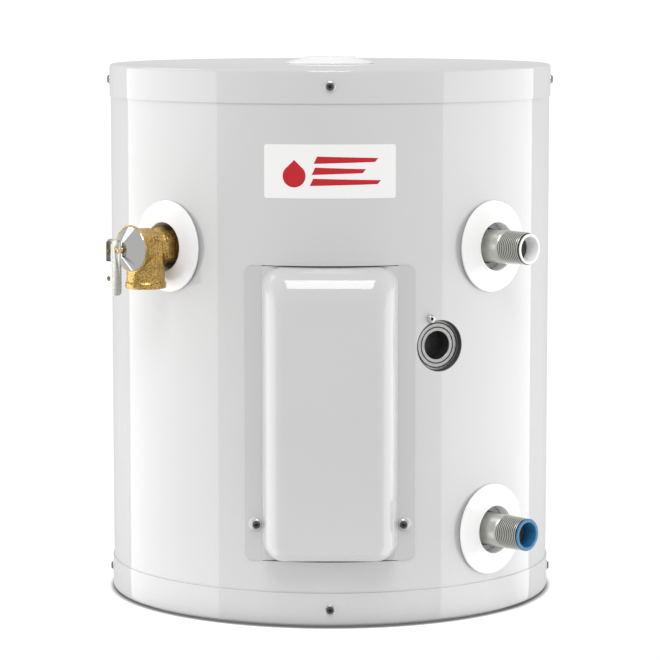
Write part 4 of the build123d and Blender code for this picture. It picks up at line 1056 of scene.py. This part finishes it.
shank_in, hex_from, hex_to = 0.147, 0.184, 0.1925
neck_r = 0.013
collar_from, collar_to = 0.1993, 0.2070
barrel_body_r, rim_r, rim_at = 0.0157, 0.0187, 0.2186
outlet_at, outlet_r, outlet_bead_r = 0.2033, 0.0150, 0.01605
outlet_low = valve_z - 0.0314
valve_axis = spot(relief_azimuth, 0.0, valve_z)
valve_body = lathe(
    [
        (0.0, shank_in),
        (pipe_r - 0.0004, shank_in),
        (pipe_r - 0.0001, hex_from - 0.002),
        (pipe_r - 0.0001, hex_to),
        (neck_r, hex_to + 0.0008),
        (neck_r - 0.0008, hex_to + 0.003),
        (neck_r, collar_from - 0.0006),
        (barrel_body_r - 0.001, collar_from + 0.0002),
        (barrel_body_r, collar_from + 0.0012),
        (barrel_body_r, collar_to + 0.001),
        (barrel_body_r + 0.0001, 0.2095),
        (barrel_body_r + 0.0004, 0.2118),
        (barrel_body_r + 0.0009, 0.2140),
        (barrel_body_r + 0.0016, 0.2158),
        (rim_r - 0.0006, 0.2172),
        (rim_r - 0.0001, 0.2180),
        (rim_r - 0.0001, 0.2184),
        (rim_r - 0.0006, rim_at),
        (0.0, rim_at),
    ],
    valve_axis,
    valve_out,
    128,
)
hex_middle = on_valve((hex_from + hex_to) / 2, 0.0, 0.0)
hexagon = rod(0.0270 / 2 / cos(radians(30.0)), hex_middle, valve_out, hex_to - hex_from, 6)
press(hexagon, "BEVEL", width=0.0007, segments=2, limit_method="ANGLE")
cut(valve_body, hexagon, "UNION")
collar = valve_block((collar_from, collar_to), (-0.0155, 0.0155), (-0.0149, 0.0106))
press(collar, "BEVEL", width=0.0009, segments=3)
cut(valve_body, collar, "UNION")
for side in (-1, 1):
    inner, outer = sorted((side * 0.0150, side * 0.0163))
    frame_plate = valve_block((collar_from + 0.0006, collar_to - 0.0006), (inner, outer), (-0.0118, 0.0086))
    hollow_in, hollow_out = sorted((side * 0.0157, side * 0.0175))
    hollow_along = (collar_from + 0.0020, collar_to - 0.0020)
    cut(frame_plate, valve_block(hollow_along, (hollow_in, hollow_out), (-0.0100, 0.0068)))
    cut(valve_body, frame_plate, "UNION")
outlet = lathe(
    [
        (0.0, outlet_low),
        (outlet_bead_r - 0.0007, outlet_low),
        (outlet_bead_r, outlet_low + 0.0007),
        (outlet_bead_r, outlet_low + 0.0040),
        (outlet_bead_r - 0.0004, outlet_low + 0.0047),
        (outlet_r + 0.0001, outlet_low + 0.0052),
        (outlet_r, outlet_low + 0.0062),
        (outlet_r - 0.0002, valve_z - 0.004),
        (0.0, valve_z - 0.004),
    ],
    spot(relief_azimuth, outlet_at, 0.0),
    (0.0, 0.0, 1.0),
    128,
)
cut(valve_body, outlet, "UNION")
press(valve_body, "REMESH", mode="VOXEL", voxel_size=0.0005)
press(valve_body, "SMOOTH", factor=0.5, iterations=1)
cut(valve_body, rod(0.0175, on_valve(0.2223, 0.0, 0.0), valve_out, 0.0102, 128))
cut(valve_body, rod(0.0132, on_valve(0.2085, 0.0, 0.0), valve_out, 0.020, 96))
outlet_bore_at = (valve_out.x * outlet_at, valve_out.y * outlet_at, outlet_low + 0.006)
cut(valve_body, rod(0.0121, outlet_bore_at, (0.0, 0.0, 1.0), 0.016, 96))
fix(valve_body, "relief_body", brass_skin, "cabinet", ["relief_body"], 45.0)


# Bonnet: a chromed steel cone crimped into the rim, through which the stem comes out.
chrome = finish_named("chrome", (0.60, 0.60, 0.59), 0.07, 1.0)
relief(chrome, 0.004, 0.00001, 0.5)
uneven_gloss(chrome, 0.003, 0.05, 0.12)
bonnet = lathe(
    [
        (0.0132, 0.2174),
        (0.0166, 0.2172),
        (0.0173, 0.2176),
        (0.01745, 0.2181),
        (0.0173, 0.2187),
        (0.0168, 0.2192),
        (0.0066, 0.2275),
        (0.0062, 0.2279),
        (0.0057, 0.2280),
        (0.0029, 0.2280),
        (0.0027, 0.2278),
        (0.0027, 0.2269),
        (0.0048, 0.2268),
        (0.0130, 0.2185),
        (0.0132, 0.2174),
    ],
    valve_axis,
    valve_out,
    128,
)
fix(bonnet, "relief_bonnet", chrome, "cabinet", ["relief_bonnet"], 38.0)


# Relief stem and pin: turned brass. The pin is headed over on both sides of the lever.
turned_brass = finish_named("turned_brass", (0.76, 0.53, 0.22), 0.24, 1.0)
mottle(turned_brass, 0.0012, (0.60, 0.40, 0.16), 0.42, 0.7)
relief(turned_brass, 0.0005, 0.00001)
stem_tip = 0.2384
stem_at = spot(relief_azimuth, 0.0, valve_z)
pin_at = 0.2355
stem = lathe(
    [
        (0.0, 0.2020),
        (0.0022, 0.2020),
        (0.0023, 0.2022),
        (0.0023, stem_tip - 0.0006),
        (0.0020, stem_tip - 0.0001),
        (0.0016, stem_tip),
        (0.0, stem_tip),
    ],
    stem_at,
    valve_out,
    64,
)
fix(stem, "relief_stem", turned_brass, "relief_stem_set", ["relief_stem"], 40.0)
pin_half = 0.0036
pin = lathe(
    [
        (0.0, -pin_half - 0.00100),
        (0.0012, -pin_half - 0.00096),
        (0.0018, -pin_half - 0.0007),
        (0.00215, -pin_half - 0.0003),
        (0.00215, -pin_half - 0.00006),
        (0.0012, -pin_half - 0.00005),
        (0.0012, pin_half + 0.00005),
        (0.00215, pin_half + 0.00006),
        (0.00215, pin_half + 0.0003),
        (0.0018, pin_half + 0.0007),
        (0.0012, pin_half + 0.00096),
        (0.0, pin_half + 0.00100),
    ],
    on_valve(pin_at, 0.0, 0.0),
    valve_right,
    48,
)
fix(pin, "relief_pin", turned_brass, "relief_stem_set", ["relief_pin"], 40.0)


# Test lever: stainless strip pressed to a channel, with a round top and a hole near its foot.
stainless = finish_named("stainless", (0.50, 0.50, 0.47), 0.24, 1.0)
mottle(stainless, 0.003, (0.46, 0.46, 0.43), 0.42, 0.7)
uneven_gloss(stainless, 0.0016, 0.22, 0.28)
relief(stainless, 0.0008, 0.000001)
lever_outer, ear_inner = 0.2413, 0.2314
lever_half_w, lever_t = 0.0036, 0.0009
lever_up, lever_down = 0.0090, 0.0347
web_below, web_hole_r, web_hole_below = 0.0081, 0.00195, 0.0213
lever = valve_block((ear_inner, lever_outer), (-lever_half_w, lever_half_w), (-lever_down, lever_up))
bpy.ops.object.mode_set(mode="EDIT")
bpy.ops.mesh.select_mode(type="EDGE")
bpy.ops.mesh.select_all(action="DESELECT")
bpy.ops.object.mode_set(mode="OBJECT")
for edge in lever.data.edges:
    ends = [lever.data.vertices[corner].co for corner in edge.vertices]
    edge.select = abs((ends[0] - ends[1]).dot(valve_right)) > 0.005 and ends[0].z > valve_z
bpy.ops.object.mode_set(mode="EDIT")
bpy.ops.mesh.bevel(offset=(lever_outer - ear_inner) / 2 - 0.0001, segments=12, affect="EDGES")
bpy.ops.mesh.select_all(action="DESELECT")
bpy.ops.object.mode_set(mode="OBJECT")
for edge in lever.data.edges:
    ends = [lever.data.vertices[corner].co for corner in edge.vertices]
    low = max(end.z for end in ends) < valve_z - 0.03
    inner = max(end.dot(valve_out) for end in ends) < ear_inner + 0.001
    edge.select = abs((ends[0] - ends[1]).dot(valve_right)) > 0.005 and low and inner
bpy.ops.object.mode_set(mode="EDIT")
bpy.ops.mesh.bevel(offset=0.003, segments=6, affect="EDGES")
bpy.ops.object.mode_set(mode="OBJECT")
inner_w = lever_half_w - lever_t
channel_up = lever_up + 0.002
channel = (ear_inner - 0.001, lever_outer - lever_t)
cut(lever, valve_block(channel, (-inner_w, inner_w), (-lever_down - 0.002, channel_up)))
slot_through = (ear_inner - 0.002, lever_outer + 0.002)
cut(lever, valve_block(slot_through, (-inner_w, inner_w), (-web_below, channel_up)))
cut(lever, rod(0.00125, on_valve(pin_at, 0.0, 0.0), valve_right, 0.02, 48))
cut(lever, rod(web_hole_r, on_valve(lever_outer, 0.0, -web_hole_below), valve_out, 0.006, 48))
press(lever, "BEVEL", width=0.00015, segments=2, limit_method="ANGLE", angle_limit=radians(50.0))
fix(lever, "relief_lever", stainless, "relief_lever", ["relief_lever"], 25.0)


# Insulation pad: a slab of yellow fibreglass wool stuck behind the cover's face. Its edges are
# soft where the knife crushed them and its faces wander.
wool = finish_named("fibreglass", (0.80, 0.60, 0.22), 0.95)
mottle(wool, 0.004, (0.88, 0.74, 0.38), 0.38, 0.66, 6.0)
mottle(wool, 0.0012, (0.66, 0.46, 0.14), 0.5, 0.72, 4.0)
relief(wool, 0.0009, 0.0005, 1.0, 6.0)
wool.node_tree.nodes["Principled BSDF"].inputs["Sheen Weight"].default_value = 0.3
pad_low, pad_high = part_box("cover_insulation")
pad_inset = 0.0007
pad = block(pad_low + Vector((pad_inset,) * 3), pad_high - Vector((pad_inset,) * 3))
take(pad)
bpy.ops.object.transform_apply(location=True, rotation=True, scale=True)
press(pad, "REMESH", mode="VOXEL", voxel_size=0.002)
press(pad, "SMOOTH", factor=0.5, iterations=3)
lumps = bpy.data.textures.new("wool_lumps", "CLOUDS")
lumps.noise_scale = 0.02
press(pad, "DISPLACE", texture=lumps, strength=0.0012, mid_level=0.5, texture_coords="LOCAL")
press(pad, "SUBSURF", levels=1, render_levels=1)
fix(pad, "cover_insulation", wool, "access_cover", ["cover_insulation"], 60.0)


# Inner parts: tank, spuds, element, thermostat, anode, dip tube, dams and foam keep their solids.
# Each gets the finish of its own material; the foam's colour is darkened with painted shade so it reads dark
# in the gaps.
inner_finishes = {
    "tank_steel": ((0.045, 0.048, 0.055), 0.42, 0.6, (0.09, 0.06, 0.045), 0.012, 0.00005),
    "spring_steel": ((0.42, 0.42, 0.42), 0.25, 1.0, (0.34, 0.34, 0.34), 0.002, 0.00001),
    # Painted shade: the foam is darker than its own cream yellow, so that the gaps round the cover and the
    # fittings read dark.
    "foam": ((0.30, 0.26, 0.17), 0.9, 0.0, (0.22, 0.18, 0.11), 0.006, 0.0005),
    "polystyrene": ((0.86, 0.86, 0.86), 0.8, 0.0, (0.80, 0.80, 0.80), 0.004, 0.0003),
    "dam_foam": ((0.42, 0.42, 0.43), 0.9, 0.0, (0.34, 0.34, 0.35), 0.002, 0.0002),
    "pale_plastic": ((0.70, 0.70, 0.64), 0.4, 0.0, (0.62, 0.62, 0.56), 0.004, 0.00002),
    "black_rubber": ((0.02, 0.02, 0.02), 0.6, 0.0, (0.035, 0.035, 0.035), 0.002, 0.00004),
    "magnesium": ((0.36, 0.36, 0.35), 0.4, 0.9, (0.28, 0.28, 0.27), 0.003, 0.00004),
    "copper_sheath": ((0.56, 0.26, 0.14), 0.3, 1.0, (0.60, 0.52, 0.46), 0.004, 0.00002),
    "black_phenolic": ((0.018, 0.018, 0.019), 0.4, 0.0, (0.03, 0.028, 0.026), 0.002, 0.00002),
    "red_plastic": ((0.45, 0.006, 0.006), 0.3, 0.0, (0.38, 0.005, 0.005), 0.002, 0.00001),
    "cream_plastic": ((0.72, 0.66, 0.50), 0.4, 0.0, (0.66, 0.60, 0.44), 0.002, 0.00002),
    "lead_insulation": ((0.02, 0.02, 0.022), 0.45, 0.0, (0.035, 0.035, 0.04), 0.002, 0.00002),
}
slots_done = {
    "white_enamel": enamel,
    "white_plastic": gloss_white,
    "badge_foil": foil,
    "galvanised_steel": pipe_zinc,
    "zinc_screw": zinc,
    "zinc_sheet": galvanised,
    "cast_brass": brass_skin,
    "turned_brass": turned_brass,
    "chrome": chrome,
    "stainless": stainless,
    "fibreglass": wool,
    "white_liner": white_liner,
    "blue_liner": blue_liner,
    "olive_rubber": flap_rubber,
}
for slot_name, (colour, roughness, metallic, other, grain, depth) in inner_finishes.items():
    finish = finish_named(slot_name, colour, roughness, metallic)
    mottle(finish, grain, other, 0.4, 0.68)
    uneven_gloss(finish, grain, max(roughness - 0.1, 0.05), min(roughness + 0.1, 1.0))
    relief(finish, grain * 0.4, depth)
    slots_done[slot_name] = finish
for subpart in record["subparts"]:
    node = frame["nodes"][subpart["node"]]
    if not node.hide_render:
        node.data.materials.clear()
        node.data.materials.append(slots_done[subpart["material_slot"]])
